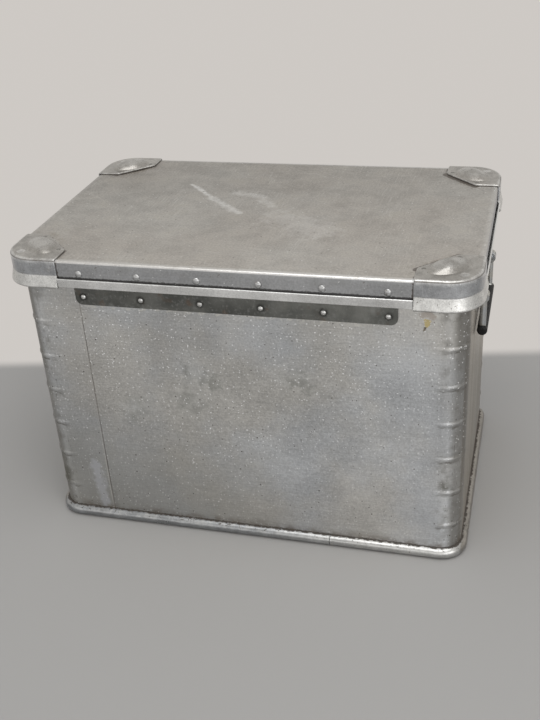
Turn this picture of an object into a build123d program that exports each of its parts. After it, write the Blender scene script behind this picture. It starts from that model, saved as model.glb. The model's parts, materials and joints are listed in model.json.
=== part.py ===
from build123d import *
import math
import os

# Aluminium case with a hinged lid. Millimetres, +Z up. The origin is on the floor under the
# middle of the case. The latches face -Y, the hinge faces +Y and the carrying handles face +X and -X.

# Body
BODY_LENGTH = 578.0
BODY_WIDTH = 368.0
BODY_CORNER_RADIUS = 28.0
BODY_WALL = 1.5
BOTTOM_SHEET = 1.5
BOTTOM_UPSTAND = 16.0
SEAM_FROM_END = 82.2
SEAM_WIDTH = 0.8
SEAM_DEPTH = 0.5

# Pressed beads round the body's vertical corners
BEAD_COUNT = 6
BEAD_FIRST_Z = 53.5
BEAD_TOP_DISTANCE = 72.5
BEAD_RADIUS = 4.2
BEAD_HEIGHT = 1.8
BEAD_END_ANGLE = 9.0

# Bottom rail
RAIL_HEIGHT = 16.2
RAIL_FLAT = 0.5
RAIL_WALL = 1.6
RAIL_FLANGE = 14.0
RAIL_FLANGE_THICKNESS = 2.0
RAIL_JOINT_X = -113.5
RAIL_JOINT_GAP = 0.5

# Rim channel on the body's top edge
RIM_WALL = 1.5
RIM_TOP_THICKNESS = 2.0
RIM_LEG = 9.5

# Lid; the case is CASE_HEIGHT high to the top of the lid's sheet
CASE_HEIGHT = 414.0
LID_RISE = 22.0
LID_OVERHANG = 11.0
LID_SHEET = 1.5
LID_EDGE_RADIUS = 3.2
LID_DEPTH = 36.0
FRAME_WALL = 2.0
FRAME_WEB = 1.5
FRAME_TOP_DEPTH = 9.5
FRAME_SHELF_INSET = 6.0
LIP_HEIGHT = 12.3
LIP_WALL = 2.1
LIP_REACH = 4.7
LIP_EDGE_RADIUS = 0.9
LIP_FOOT_RADIUS = 2.8
LIP_END_GAP = 0.3
SEAL_WIDTH = 10.0
SEAL_OUTSIDE = 4.3
SEAL_CLEARANCE = 0.3

# Cast corner
CORNER_WING = 75.0
CORNER_NOSE = 31.0
CORNER_FOOT_DROP = 1.0
CORNER_PLATE = 2.5
CORNER_FOOT_REACH = 6.0
CORNER_FOOT_RADIUS = 2.6
CORNER_FLARE_HEIGHT = 17.3
CORNER_WALL_REACH = 2.4
CORNER_TOP_RADIUS = 4.0
CORNER_TIP_RADIUS = 7.0
BUMP_CENTRE = 38.5
BUMP_HEIGHT = 9.0
BUMP_HALF_WIDTH = 19.0
BUMP_HALF_LENGTH = 30.0
BUMP_SINK = 0.5
PIT_CENTRE = 19.0
PIT_RADIUS = 11.0
PIT_DEPTH = 1.5
CORNER_RIVET_ALONG = 67.0
CORNER_RIVET_ACROSS = 29.5

# Hinge
HINGE_LENGTH = 416.0
HINGE_CENTRE_X = 2.0
HINGE_KNUCKLES = 13
HINGE_KNUCKLE_GAP = 0.4
HINGE_LEAF = 1.5
HINGE_BARREL_RADIUS = 3.4
HINGE_BORE_RADIUS = 1.9
HINGE_PIN_CLEARANCE = 0.05
HINGE_AXIS_DROP = 0.5
HINGE_LEAF_GAP = 0.5
BODY_LEAF_DEPTH = 28.0
BODY_LEAF_CORNER = 9.0
LID_LEAF_HEIGHT = 24.5
HINGE_HEAD_RADIUS = 3.0
HINGE_HEAD = 1.2
BODY_RIVET_DROP = 16.8
BODY_RIVET_END = 11.25
LID_RIVET_RISE = 19.8
LID_RIVET_END = 12.5
HINGE_RIVET_COUNT = 6

# Rivets
RIVET_SHANK = 1.8
RIVET_HOLE_CLEARANCE = 0.1
RIVET_TAIL_RADIUS = 2.9
RIVET_TAIL = 1.2
RIVET_HEAD_OVERLAP = 0.2
RIVET_DRILL = 12.0
CUT_MARGIN = 1.0
LID_RIVET_HEAD = (4.7, 2.3)
LEAF_RIVET_HEAD = (3.4, 1.8)
CORNER_RIVET_HEAD = (2.9, 0.7)
FITTING_RIVET_HEAD = (3.6, 1.8)

# Carrying handle, one at each end
HANDLE_TOP_DISTANCE = 57.0
HANDLE_STANDOFF = 8.8
HANDLE_ARM_SPACING = 124.0
HANDLE_DROP = 48.0
HANDLE_BAR_RADIUS = 4.4
HANDLE_BEND_RADIUS = 9.0
HANDLE_EYE_RADIUS = 6.5
HANDLE_EYE_WIDTH = 9.0
HANDLE_PIN_RADIUS = 2.5
HANDLE_PIN_CLEARANCE = 0.05
HANDLE_PIN_HEAD = (4.0, 1.3)
GRIP_RADIUS = 6.75
GRIP_OVERHANG = 7.0
GRIP_EDGE = 1.5
BRACKET_SHEET = 2.0
BRACKET_EAR_GAP = 0.3
BRACKET_EAR_RADIUS = 7.0
BRACKET_FOOT = 13.0
BRACKET_HEIGHT = 30.0
BRACKET_RIVET_SPREAD = 7.5
BRACKET_CORNER = 4.0

# Toggle latch, two on the front; reaches are counted outwards from the body's front wall
LATCH_SPACING = 300.0
LATCH_PIVOT_REACH = 18.0
LATCH_TOP_DISTANCE = 47.0
LATCH_PIN_RADIUS = 2.4
LATCH_PIN_CLEARANCE = 0.05
LATCH_BASE_SHEET = 2.0
LATCH_BASE_WIDTH = 48.0
LATCH_BASE_DROP = 31.0
LATCH_BASE_HEIGHT = 46.0
LATCH_BASE_CORNER = 5.0
LATCH_RIVET_INSET = 5.5
LEVER_WIDTH = 26.0
LEVER_SHEET = 1.5
LEVER_FACE_REACH = 22.0
LEVER_RISE = 6.0
LEVER_DROP = 43.0
LEVER_TIP_LIFT = 5.0
LEVER_TIP_LENGTH = 9.0
LEVER_CHEEK_DROP = 18.0
LEVER_CHEEK_REACH = 11.5
EAR_SHEET = 2.0
EAR_GAP = 0.4
EAR_RADIUS = 5.5
LOOP_PIVOT_REACH = 15.0
LOOP_PIVOT_DROP = 11.0
LOOP_WIRE_RADIUS = 2.0
LOOP_LENGTH = 66.0
LOOP_HALF_WIDTH = 18.6
LOOP_BEND_RADIUS = 6.0
LOOP_END_BEND = 3.0
LOOP_END_X = 9.0
KEEPER_SHEET = 1.5
KEEPER_WIDTH = 36.0
KEEPER_LIFT = 1.2
KEEPER_HEIGHT = 17.5
KEEPER_CORNER = 2.5
KEEPER_RIVET_X = 13.0
KEEPER_RIVET_RISE = 7.5
HOOK_WIDTH = 16.0
HOOK_SHELF_RISE = 3.0
HOOK_SHELF = 2.0
HOOK_REACH = 22.5
HOOK_LIP = 1.8
HOOK_HEIGHT = 6.0

# Slotted lid stay, one at each end
STUD_CLEARANCE = 8.3
STAY_PIN_DROP = 7.0
STAY_BODY_ANGLE = 22.6
LID_OPENING = 95.0
STAY_WIDTH = 12.0
STAY_THICKNESS = 2.0
STAY_SLOT_CLEARANCE = 0.1
STAY_SLOT_MARGIN = 2.0
STAY_GAP = 0.3
STAY_END = 6.5
STAY_PIN_RADIUS = 1.8
STAY_PIN_CLEARANCE = 0.05
STAY_HEAD = (4.6, 1.5)
STAY_TAIL = (3.5, 1.0)
STUD_SHOULDER_RADIUS = 4.5
STUD_WALL_HEAD = (5.0, 2.0)
STAY_BRACKET_SHEET = 2.0
STAY_BRACKET_INSET = 3.5
STAY_BRACKET_LENGTH = 24.0
STAY_BRACKET_FOOT = 12.0
STAY_BRACKET_DROP = 7.5
STAY_BRACKET_CORNER = 6.5

# Sizes that follow from the ones above
FLOOR_Z = RAIL_FLANGE_THICKNESS
BODY_TOP = CASE_HEIGHT - LID_RISE
RIM_TOP = BODY_TOP + RIM_TOP_THICKNESS
BEAD_PITCH = (BODY_TOP - BEAD_TOP_DISTANCE - BEAD_FIRST_Z) / (BEAD_COUNT - 1)
LID_BOTTOM = CASE_HEIGHT - LID_DEPTH
FRAME_TOP = CASE_HEIGHT - FRAME_TOP_DEPTH
LIP_TOP = LID_BOTTOM + LIP_HEIGHT
CORNER_BOTTOM = LID_BOTTOM - CORNER_FOOT_DROP
CORNER_FLARE_TOP = CORNER_BOTTOM + CORNER_FLARE_HEIGHT
LID_LENGTH = BODY_LENGTH + 2 * LID_OVERHANG
LID_WIDTH = BODY_WIDTH + 2 * LID_OVERHANG
LID_FLANGE_INSIDE = LID_OVERHANG - LID_SHEET
FRAME_INSIDE = LID_FLANGE_INSIDE - FRAME_WALL
END_WALL_X = BODY_LENGTH / 2
SEAM_X = END_WALL_X - SEAM_FROM_END
FRONT_WALL_Y = -BODY_WIDTH / 2
REAR_WALL_Y = BODY_WIDTH / 2
LEAF_OUTSIDE_Y = REAR_WALL_Y + FRAME_INSIDE
HINGE_AXIS_Y = REAR_WALL_Y + HINGE_BARREL_RADIUS
HINGE_AXIS_Z = LID_BOTTOM - HINGE_AXIS_DROP
BODY_RIVET_Z = HINGE_AXIS_Z - BODY_RIVET_DROP
BODY_RIVET_PITCH = (HINGE_LENGTH - 2 * BODY_RIVET_END) / (HINGE_RIVET_COUNT - 1)
LID_RIVET_Z = HINGE_AXIS_Z + LID_RIVET_RISE
LID_RIVET_PITCH = (HINGE_LENGTH - 2 * LID_RIVET_END) / (HINGE_RIVET_COUNT - 1)
HANDLE_AXIS_X = END_WALL_X + HANDLE_STANDOFF
HANDLE_AXIS_Z = BODY_TOP - HANDLE_TOP_DISTANCE
BRACKET_EAR_INSIDE = HANDLE_EYE_WIDTH / 2 + BRACKET_EAR_GAP
BRACKET_EAR_OUTSIDE = BRACKET_EAR_INSIDE + BRACKET_SHEET
BRACKET_HALF = BRACKET_EAR_OUTSIDE + BRACKET_FOOT
LATCH_PIVOT_Z = BODY_TOP - LATCH_TOP_DISTANCE
LATCH_BASE_BOTTOM = LATCH_PIVOT_Z - LATCH_BASE_DROP
LATCH_BASE_TOP = LATCH_BASE_BOTTOM + LATCH_BASE_HEIGHT
LEVER_TOP = LATCH_PIVOT_Z + LEVER_RISE
LEVER_TIP = LATCH_PIVOT_Z - LEVER_DROP
LOOP_PIVOT_Z = LATCH_PIVOT_Z - LOOP_PIVOT_DROP
KEEPER_BOTTOM = LIP_TOP + KEEPER_LIFT
KEEPER_RIVET_Z = KEEPER_BOTTOM + KEEPER_RIVET_RISE
HOOK_SHELF_Z = KEEPER_BOTTOM + HOOK_SHELF_RISE
STUD_Y = HANDLE_ARM_SPACING / 2 + BRACKET_HALF + STUD_CLEARANCE + STUD_WALL_HEAD[0]
STAY_ARM = (HINGE_AXIS_Y - STUD_Y) / math.cos(math.radians(STAY_BODY_ANGLE))
STAY_PIN_RISE = FRAME_TOP - STAY_PIN_DROP - HINGE_AXIS_Z
STAY_LID_ANGLE = math.degrees(math.asin(STAY_PIN_RISE / STAY_ARM))
PLATE_TOP = CASE_HEIGHT + CORNER_PLATE


def outline(offset):
    """Plan outline of the body's outer wall, moved outwards by offset."""
    return RectangleRounded(
        BODY_LENGTH + 2 * offset, BODY_WIDTH + 2 * offset, BODY_CORNER_RADIUS + offset
    )


def block(offset, low, high):
    """Solid block with the body's plan, moved outwards by offset."""
    return Pos(0, 0, low) * extrude(outline(offset), amount=high - low)


def ring(outside, inside, low, high):
    """Upright ring round the body between two offsets from its outer wall."""
    return block(outside, low, high) - block(inside, low, high)


def span_box(x, y, z):
    """Box between two values along each axis."""
    size = [abs(b - a) for a, b in (x, y, z)]
    middle = [(a + b) / 2 for a, b in (x, y, z)]
    return Pos(*middle) * Box(*size)


def rod(radius, start, end):
    """Round rod between two points."""
    start, end = Vector(*start), Vector(*end)
    plane = Plane(origin=start, z_dir=end - start)
    return extrude(plane * Circle(radius), amount=(end - start).length)


def dome(radius, height):
    """Rivet head on z = 0, a cap of a sphere."""
    sphere_radius = (radius**2 + height**2) / (2 * height)
    ball = Pos(0, 0, height - sphere_radius) * Sphere(sphere_radius)
    return ball & Pos(0, 0, height / 2) * Cylinder(radius + CUT_MARGIN, height)


def rivet(head, grip):
    """Rivet along z: its head on z = 0, its shank through grip and its flat tail below."""
    shank = rod(RIVET_SHANK, (0, 0, RIVET_HEAD_OVERLAP), (0, 0, -grip))
    tail = rod(RIVET_TAIL_RADIUS, (0, 0, -grip), (0, 0, -grip - RIVET_TAIL))
    return dome(*head) + shank + tail


def rivet_hole():
    """Drill for a rivet along z, long enough for any stack of sheets."""
    return Pos(0, 0, CUT_MARGIN - RIVET_DRILL / 2) * Cylinder(RIVET_SHANK + RIVET_HOLE_CLEARANCE, RIVET_DRILL)


def facing(x, y, z, outward):
    """Place whose z axis points outwards from a wall, such as (0, -1, 0) on the front."""
    return Plane(origin=(x, y, z), z_dir=outward).location


REAR = (0, 1, 0)
FRONT = (0, -1, 0)
RIGHT = (1, 0, 0)


def row(count, pitch, centre):
    """Evenly spaced values round a centre."""
    return [centre + pitch * (i - (count - 1) / 2) for i in range(count)]


# Places of the rivets, which drill the sheets too

def lid_rivet_places():
    return [
        facing(x, REAR_WALL_Y + LID_OVERHANG, LID_RIVET_Z, REAR)
        for x in row(HINGE_RIVET_COUNT, LID_RIVET_PITCH, 0)
    ]


def leaf_rivet_places():
    return [
        facing(x, REAR_WALL_Y + HINGE_LEAF, BODY_RIVET_Z, REAR)
        for x in row(HINGE_RIVET_COUNT, BODY_RIVET_PITCH, HINGE_CENTRE_X)
    ]


def corner_places():
    """Places of the four castings, with the lid towards -x and -y of each."""
    x, y = LID_LENGTH / 2, LID_WIDTH / 2
    return {
        "rear_right": Pos(x, y, 0),
        "rear_left": Pos(-x, y, 0) * Rot(Z=90),
        "front_left": Pos(-x, -y, 0) * Rot(Z=180),
        "front_right": Pos(x, -y, 0) * Rot(Z=270),
    }


def corner_rivet_places():
    near, far = CORNER_RIVET_ACROSS, CORNER_RIVET_ALONG
    return [
        corner * Pos(-a, -b, PLATE_TOP)
        for corner in corner_places().values()
        for a, b in ((near, far), (far, near))
    ]


def keeper_rivet_places(x):
    outside = FRONT_WALL_Y - LID_OVERHANG - KEEPER_SHEET
    return [facing(x + s * KEEPER_RIVET_X, outside, KEEPER_RIVET_Z, FRONT) for s in (-1, 1)]


def latch_rivet_places(x):
    across = LATCH_BASE_WIDTH / 2 - LATCH_RIVET_INSET
    low, high = LATCH_BASE_BOTTOM + LATCH_RIVET_INSET, LATCH_BASE_TOP - LATCH_RIVET_INSET
    return [
        facing(x + s * across, FRONT_WALL_Y - LATCH_BASE_SHEET, z, FRONT)
        for s in (-1, 1)
        for z in (low, high)
    ]


def handle_rivet_places():
    """Rivets of the handle at the +X end."""
    arm, foot_middle = HANDLE_ARM_SPACING / 2, BRACKET_EAR_OUTSIDE + BRACKET_FOOT / 2
    return [
        facing(END_WALL_X + BRACKET_SHEET, side * arm + foot * foot_middle, z, RIGHT)
        for side in (-1, 1)
        for foot in (-1, 1)
        for z in (HANDLE_AXIS_Z - BRACKET_RIVET_SPREAD, HANDLE_AXIS_Z + BRACKET_RIVET_SPREAD)
    ]


ENDS = {"right": Rot(Z=0), "left": Rot(Z=180)}
LATCHES = {"left": -LATCH_SPACING / 2, "right": LATCH_SPACING / 2}


# Body

def corner_beads(radius):
    """Beads of all four corners as round bars, sunk so that the outer ones show BEAD_HEIGHT."""
    centre_x = END_WALL_X - BODY_CORNER_RADIUS
    centre_y = REAR_WALL_Y - BODY_CORNER_RADIUS
    major = BODY_CORNER_RADIUS - BEAD_RADIUS + BEAD_HEIGHT
    turn = 90 - 2 * BEAD_END_ANGLE
    section = Plane.XZ * Pos(major, 0) * Circle(radius)
    bar = Rot(Z=BEAD_END_ANGLE) * revolve(section, Axis.Z, turn)
    for angle in (BEAD_END_ANGLE, 90 - BEAD_END_ANGLE):
        bar += Rot(Z=angle) * Pos(major, 0, 0) * Sphere(radius)
    corners = [(centre_x, centre_y, 0), (-centre_x, centre_y, 90),
               (-centre_x, -centre_y, 180), (centre_x, -centre_y, 270)]
    return [
        Pos(x, y, BEAD_FIRST_Z + i * BEAD_PITCH) * Rot(Z=angle) * bar
        for x, y, angle in corners
        for i in range(BEAD_COUNT)
    ]


def body_shell():
    """Thin wall band with beads pressed outwards, the vertical seam and the rivet holes."""
    shell = block(0, FLOOR_Z, BODY_TOP) + corner_beads(BEAD_RADIUS)
    shell -= block(-BODY_WALL, FLOOR_Z, BODY_TOP)
    shell -= corner_beads(BEAD_RADIUS - BODY_WALL)
    seam_x = (SEAM_X - SEAM_WIDTH / 2, SEAM_X + SEAM_WIDTH / 2)
    shell -= span_box(seam_x, (REAR_WALL_Y - SEAM_DEPTH, REAR_WALL_Y + CUT_MARGIN), (FLOOR_Z, BODY_TOP))
    return drill(shell, body_rivet_places()) - [mirrored(stud_bore(), end) for end in ENDS]


def body_rivet_places():
    places = leaf_rivet_places()
    for x in LATCHES.values():
        places += latch_rivet_places(x)
    for turn in ENDS.values():
        places += [turn * place for place in handle_rivet_places()]
    return places


def drill(part, places):
    return part - [place * rivet_hole() for place in places]


def bottom_sheet():
    """Pan whose upstand lies against the inside of the shell."""
    top = FLOOR_Z + BOTTOM_SHEET
    pan = block(-BODY_WALL, FLOOR_Z, FLOOR_Z + BOTTOM_UPSTAND)
    return pan - block(-BODY_WALL - BOTTOM_SHEET, top, FLOOR_Z + BOTTOM_UPSTAND)


def half_round(radius, flat_x):
    """Half disc that bulges towards +x, in the section's own plane."""
    middle = RAIL_HEIGHT / 2
    top, low, bulge = (flat_x, middle + radius), (flat_x, middle - radius), (flat_x + radius, middle)
    return make_face([Line(low, top), ThreePointArc(top, bulge, low)])


def rail_section():
    """Rail's section: x counts outwards from the wall and y is the height."""
    outside = half_round(RAIL_HEIGHT / 2, RAIL_FLAT)
    root = Pos(RAIL_FLAT / 2, RAIL_HEIGHT / 2) * Rectangle(RAIL_FLAT, RAIL_HEIGHT)
    flange_width = RAIL_FLANGE + RAIL_FLAT
    flange = Pos(RAIL_FLAT - flange_width / 2, RAIL_FLANGE_THICKNESS / 2)
    section = outside + root + flange * Rectangle(flange_width, RAIL_FLANGE_THICKNESS)
    return section - half_round(RAIL_HEIGHT / 2 - RAIL_WALL, RAIL_FLAT + RAIL_WALL / 2)


def run_round_body(section):
    """Section carried round the body: four straight runs and four quarter turns."""
    half_x = END_WALL_X - BODY_CORNER_RADIUS
    half_y = REAR_WALL_Y - BODY_CORNER_RADIUS
    parts = []
    for angle, run, reach in ((0, half_y, half_x), (90, half_x, half_y),
                              (180, half_y, half_x), (270, half_x, half_y)):
        face = Plane.XZ * Pos(reach + BODY_CORNER_RADIUS, 0) * section
        straight = Pos(0, run, 0) * extrude(face, amount=2 * run)
        corner_face = Plane.XZ * Pos(BODY_CORNER_RADIUS, 0) * section
        turn = Pos(reach, run, 0) * revolve(corner_face, Axis.Z, 90)
        parts += [Rot(Z=angle) * straight, Rot(Z=angle) * turn]
    return parts[0] + parts[1:]


def bottom_rail():
    """Half-round foot rail with its flange under the shell and a butt joint at the rear."""
    rail = run_round_body(rail_section())
    gap = (RAIL_JOINT_X - RAIL_JOINT_GAP / 2, RAIL_JOINT_X + RAIL_JOINT_GAP / 2)
    return rail - span_box(gap, (REAR_WALL_Y - RAIL_FLANGE - CUT_MARGIN, REAR_WALL_Y + RAIL_HEIGHT),
                           (-CUT_MARGIN, RAIL_HEIGHT + CUT_MARGIN))


def body_rim():
    """Channel folded over the shell's top edge."""
    outside, inside = RIM_WALL, -BODY_WALL - RIM_WALL
    rim = ring(outside, inside, BODY_TOP - RIM_LEG, RIM_TOP)
    return rim - ring(0, -BODY_WALL, BODY_TOP - RIM_LEG, BODY_TOP)


# Hinge

def knuckle_spans(first):
    """X ranges of every second knuckle, from the first one named."""
    pitch = HINGE_LENGTH / HINGE_KNUCKLES
    start = HINGE_CENTRE_X - HINGE_LENGTH / 2
    gap = HINGE_KNUCKLE_GAP / 2
    return [
        (start + i * pitch + gap, start + (i + 1) * pitch - gap)
        for i in range(first, HINGE_KNUCKLES, 2)
    ]


def knuckles(first, tab_y, tab_z):
    """Barrels of one leaf with the tabs that join them to it, as one solid each."""
    barrels = []
    for span in knuckle_spans(first):
        centre = [(x, HINGE_AXIS_Y, HINGE_AXIS_Z) for x in span]
        barrels.append(rod(HINGE_BARREL_RADIUS, *centre) + span_box(span, tab_y, tab_z))
    return barrels


def hinge_bore():
    half = HINGE_LENGTH
    return rod(HINGE_BORE_RADIUS, (-half, HINGE_AXIS_Y, HINGE_AXIS_Z), (half, HINGE_AXIS_Y, HINGE_AXIS_Z))


def hinge_body_leaf():
    """Steel leaf riveted to the rear wall, with rounded lower corners."""
    x = (HINGE_CENTRE_X - HINGE_LENGTH / 2, HINGE_CENTRE_X + HINGE_LENGTH / 2)
    y = (REAR_WALL_Y, REAR_WALL_Y + HINGE_LEAF)
    top = HINGE_AXIS_Z - HINGE_BARREL_RADIUS - HINGE_LEAF_GAP
    plate = span_box(x, y, (HINGE_AXIS_Z - BODY_LEAF_DEPTH, top))
    lower = plate.edges().filter_by(Axis.Y).sort_by(Axis.Z)[:2]
    leaf = fillet(lower, BODY_LEAF_CORNER) + knuckles(0, y, (top, HINGE_AXIS_Z))
    return drill(leaf - hinge_bore(), leaf_rivet_places())


def hinge_lid_leaf():
    """Steel leaf behind the lid's flange and frame, held by the flange rivets."""
    x = (HINGE_CENTRE_X - HINGE_LENGTH / 2, HINGE_CENTRE_X + HINGE_LENGTH / 2)
    y = (LEAF_OUTSIDE_Y - HINGE_LEAF, LEAF_OUTSIDE_Y)
    low = HINGE_AXIS_Z + HINGE_BARREL_RADIUS + HINGE_LEAF_GAP
    leaf = span_box(x, y, (low, HINGE_AXIS_Z + LID_LEAF_HEIGHT)) + knuckles(1, y, (HINGE_AXIS_Z, low))
    return drill(leaf - hinge_bore(), lid_rivet_places())


def hinge_pin():
    """Pin through all knuckles, headed at both ends."""
    ends = [HINGE_CENTRE_X + s * HINGE_LENGTH / 2 for s in (-1, 1)]
    axis = (HINGE_AXIS_Y, HINGE_AXIS_Z)
    pin = rod(HINGE_BORE_RADIUS - HINGE_PIN_CLEARANCE, (ends[0], *axis), (ends[1], *axis))
    for x, side in zip(ends, (-1, 1)):
        pin += rod(HINGE_HEAD_RADIUS, (x, *axis), (x + side * HINGE_HEAD, *axis))
    return pin


# Lid

def lid_sheet():
    """Pressed lid with a flange and a rounded edge."""
    pan = block(LID_OVERHANG, LID_BOTTOM + FRAME_WEB, CASE_HEIGHT)
    pan = fillet(pan.faces().sort_by(Axis.Z)[-1].edges(), LID_EDGE_RADIUS)
    pan -= block(LID_FLANGE_INSIDE, LID_BOTTOM + FRAME_WEB, CASE_HEIGHT - LID_SHEET)
    return drill(pan, lid_rivet_places() + all_keeper_rivets() + corner_rivet_places())


def all_keeper_rivets():
    return [place for x in LATCHES.values() for place in keeper_rivet_places(x)]


def lip_section():
    """Lip's section: x counts outwards from the lid's flange and y is the height."""
    web = Pos(LIP_REACH / 2, LID_BOTTOM + FRAME_WEB / 2) * Rectangle(LIP_REACH, FRAME_WEB)
    wall = Pos(LIP_REACH - LIP_WALL / 2, LID_BOTTOM + LIP_HEIGHT / 2) * Rectangle(LIP_WALL, LIP_HEIGHT)
    section = web + wall
    foot = [v for v in section.vertices() if v.X > LIP_REACH - 0.1 and v.Y < LID_BOTTOM + 0.1]
    section = fillet(foot, LIP_FOOT_RADIUS)
    top = [v for v in section.vertices() if v.Y > LIP_TOP - 0.1]
    return fillet(top, LIP_EDGE_RADIUS)


def lip_runs():
    """Straight lips between the castings, with a groove open at the top behind each."""
    runs = []
    long_run = LID_LENGTH - 2 * (CORNER_WING + LIP_END_GAP)
    short_run = LID_WIDTH - 2 * (CORNER_WING + LIP_END_GAP)
    for angle, run, reach in ((0, short_run, LID_LENGTH / 2), (90, long_run, LID_WIDTH / 2),
                              (180, short_run, LID_LENGTH / 2), (270, long_run, LID_WIDTH / 2)):
        face = Plane.XZ * Pos(reach, 0) * lip_section()
        runs.append(Rot(Z=angle) * Pos(0, run / 2, 0) * extrude(face, amount=run))
    return runs


def lid_frame():
    """Profile inside the lid's flange: wall, shelf over the seal, web and outer lip."""
    frame = ring(LID_FLANGE_INSIDE, FRAME_INSIDE, LID_BOTTOM, FRAME_TOP)
    frame += ring(LID_FLANGE_INSIDE, -FRAME_SHELF_INSET, FRAME_TOP - FRAME_WALL, FRAME_TOP)
    frame += ring(LID_OVERHANG, FRAME_INSIDE, LID_BOTTOM, LID_BOTTOM + FRAME_WEB)
    return drill(frame + lip_runs(), lid_rivet_places() + all_keeper_rivets())


def lid_seal():
    """Soft strip under the shelf, just clear of the body's rim."""
    return ring(SEAL_OUTSIDE, SEAL_OUTSIDE - SEAL_WIDTH, RIM_TOP + SEAL_CLEARANCE, FRAME_TOP - FRAME_WALL)


def corner_top_edge():
    """Reach at which the casting's rounded side meets its flat top."""
    return CORNER_WALL_REACH - CORNER_TOP_RADIUS


def corner_section():
    """Casting's side section: x counts outwards from the flange and y is the height."""
    foot, radius = CORNER_FOOT_REACH, CORNER_FOOT_RADIUS
    wall, low, top = CORNER_WALL_REACH, CORNER_BOTTOM, PLATE_TOP
    edge = corner_top_edge()
    inside = edge - CORNER_PLATE
    lower = Line((0, low), (foot - radius, low))
    toe = TangentArc(lower @ 1, (foot, low + radius), tangent=(1, 0))
    side = Polyline(toe @ 1, (wall, CORNER_FLARE_TOP), (wall, top - CORNER_TOP_RADIUS))
    crown = TangentArc(side @ 1, (edge, top), tangent=(0, 1))
    rest = Polyline(crown @ 1, (inside, top), (inside, CASE_HEIGHT), (0, CASE_HEIGHT), (0, low))
    return make_face([lower, toe, side, crown, rest])


def corner_plate():
    """Top plate of a casting, with the corner of the lid at the origin."""
    wing, nose, inset = CORNER_WING, CORNER_NOSE, -corner_top_edge()
    points = [(-inset, -inset), (-wing, -inset), (-wing, -nose), (-nose, -wing), (-inset, -wing)]
    sketch = make_face(Polyline(*points, close=True))
    tips = sketch.vertices().sort_by(lambda v: v.X + v.Y)[:2]
    sketch = fillet(tips, CORNER_TIP_RADIUS)
    outer = sketch.vertices().sort_by(lambda v: v.X + v.Y)[-1]
    sketch = fillet(outer, BODY_CORNER_RADIUS + LID_OVERHANG - inset)
    return Pos(0, 0, CASE_HEIGHT) * extrude(sketch, amount=CORNER_PLATE)


def corner_bump():
    """Stacking bump: a barrel across the corner, sunk into the plate."""
    rise, half = BUMP_HEIGHT, BUMP_HALF_WIDTH
    radius = (half**2 + rise**2) / (2 * rise)
    depth = radius - rise
    bow = (BUMP_HALF_LENGTH**2 + rise**2) / (2 * rise)
    reach = BUMP_HALF_LENGTH + 2 * BUMP_SINK
    end_radius = radius - bow + math.sqrt(bow**2 - reach**2)
    arc = ThreePointArc((-reach, end_radius), (0, radius), (reach, end_radius))
    side = Polyline((reach, end_radius), (reach, 0), (-reach, 0), (-reach, end_radius))
    barrel = revolve(make_face([arc, side]), Axis.X)
    place = Pos(-BUMP_CENTRE, -BUMP_CENTRE, PLATE_TOP - depth) * Rot(Z=-45)
    above = Pos(-BUMP_CENTRE, -BUMP_CENTRE, PLATE_TOP - BUMP_SINK + rise)
    return (place * barrel) & above * Box(4 * half, 4 * half, 2 * rise)


def corner_casting():
    """Cast corner with the lid's corner at the origin and the lid towards -x and -y."""
    radius = BODY_CORNER_RADIUS + LID_OVERHANG
    straight = CORNER_WING - radius
    section = Plane.XZ * corner_section()
    wing_x = Pos(0, -radius, 0) * extrude(section, amount=straight)
    wing_y = Rot(Z=90) * Pos(0, CORNER_WING, 0) * extrude(section, amount=straight)
    turn = Pos(-radius, -radius, 0) * revolve(Plane.XZ * Pos(radius, 0) * corner_section(), Axis.Z, 90)
    casting = corner_plate() + [wing_x, wing_y, turn, corner_bump()]
    pit = Pos(-PIT_CENTRE, -PIT_CENTRE, PLATE_TOP + PIT_RADIUS - PIT_DEPTH) * Sphere(PIT_RADIUS)
    casting -= pit
    near, far = CORNER_RIVET_ACROSS, CORNER_RIVET_ALONG
    return drill(casting, [Pos(-near, -far, PLATE_TOP), Pos(-far, -near, PLATE_TOP)])


# Carrying handle at the +X end

def handle_bar_path(y_low, y_high):
    """U-shaped middle line of the bail."""
    x, top, low = HANDLE_AXIS_X, HANDLE_AXIS_Z, HANDLE_AXIS_Z - HANDLE_DROP
    points = [(x, y_low, top), (x, y_low, low), (x, y_high, low), (x, y_high, top)]
    return FilletPolyline(*points, radius=HANDLE_BEND_RADIUS)


def handle_bail():
    """Round bar bent to a U, with an eye at the top of each arm."""
    half = HANDLE_ARM_SPACING / 2
    path = handle_bar_path(-half, half)
    bar = sweep(Plane(origin=path @ 0, z_dir=path % 0) * Circle(HANDLE_BAR_RADIUS), path=path)
    axis = (HANDLE_AXIS_X, HANDLE_AXIS_Z)
    for y in (-half, half):
        ends = [(axis[0], y + s * HANDLE_EYE_WIDTH / 2, axis[1]) for s in (-1, 1)]
        bar += rod(HANDLE_EYE_RADIUS, *ends)
    for y in (-half, half):
        ends = [(axis[0], y + s * HANDLE_EYE_WIDTH, axis[1]) for s in (-1, 1)]
        bar -= rod(HANDLE_PIN_RADIUS + HANDLE_PIN_CLEARANCE, *ends)
    return bar


def handle_grip():
    """Moulded grip that encloses the lower run of the bail."""
    half = HANDLE_ARM_SPACING / 2 + GRIP_OVERHANG
    z = HANDLE_AXIS_Z - HANDLE_DROP
    grip = rod(GRIP_RADIUS, (HANDLE_AXIS_X, -half, z), (HANDLE_AXIS_X, half, z))
    grip = fillet(grip.edges().filter_by(GeomType.CIRCLE), GRIP_EDGE)
    return grip - handle_bail()


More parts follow.
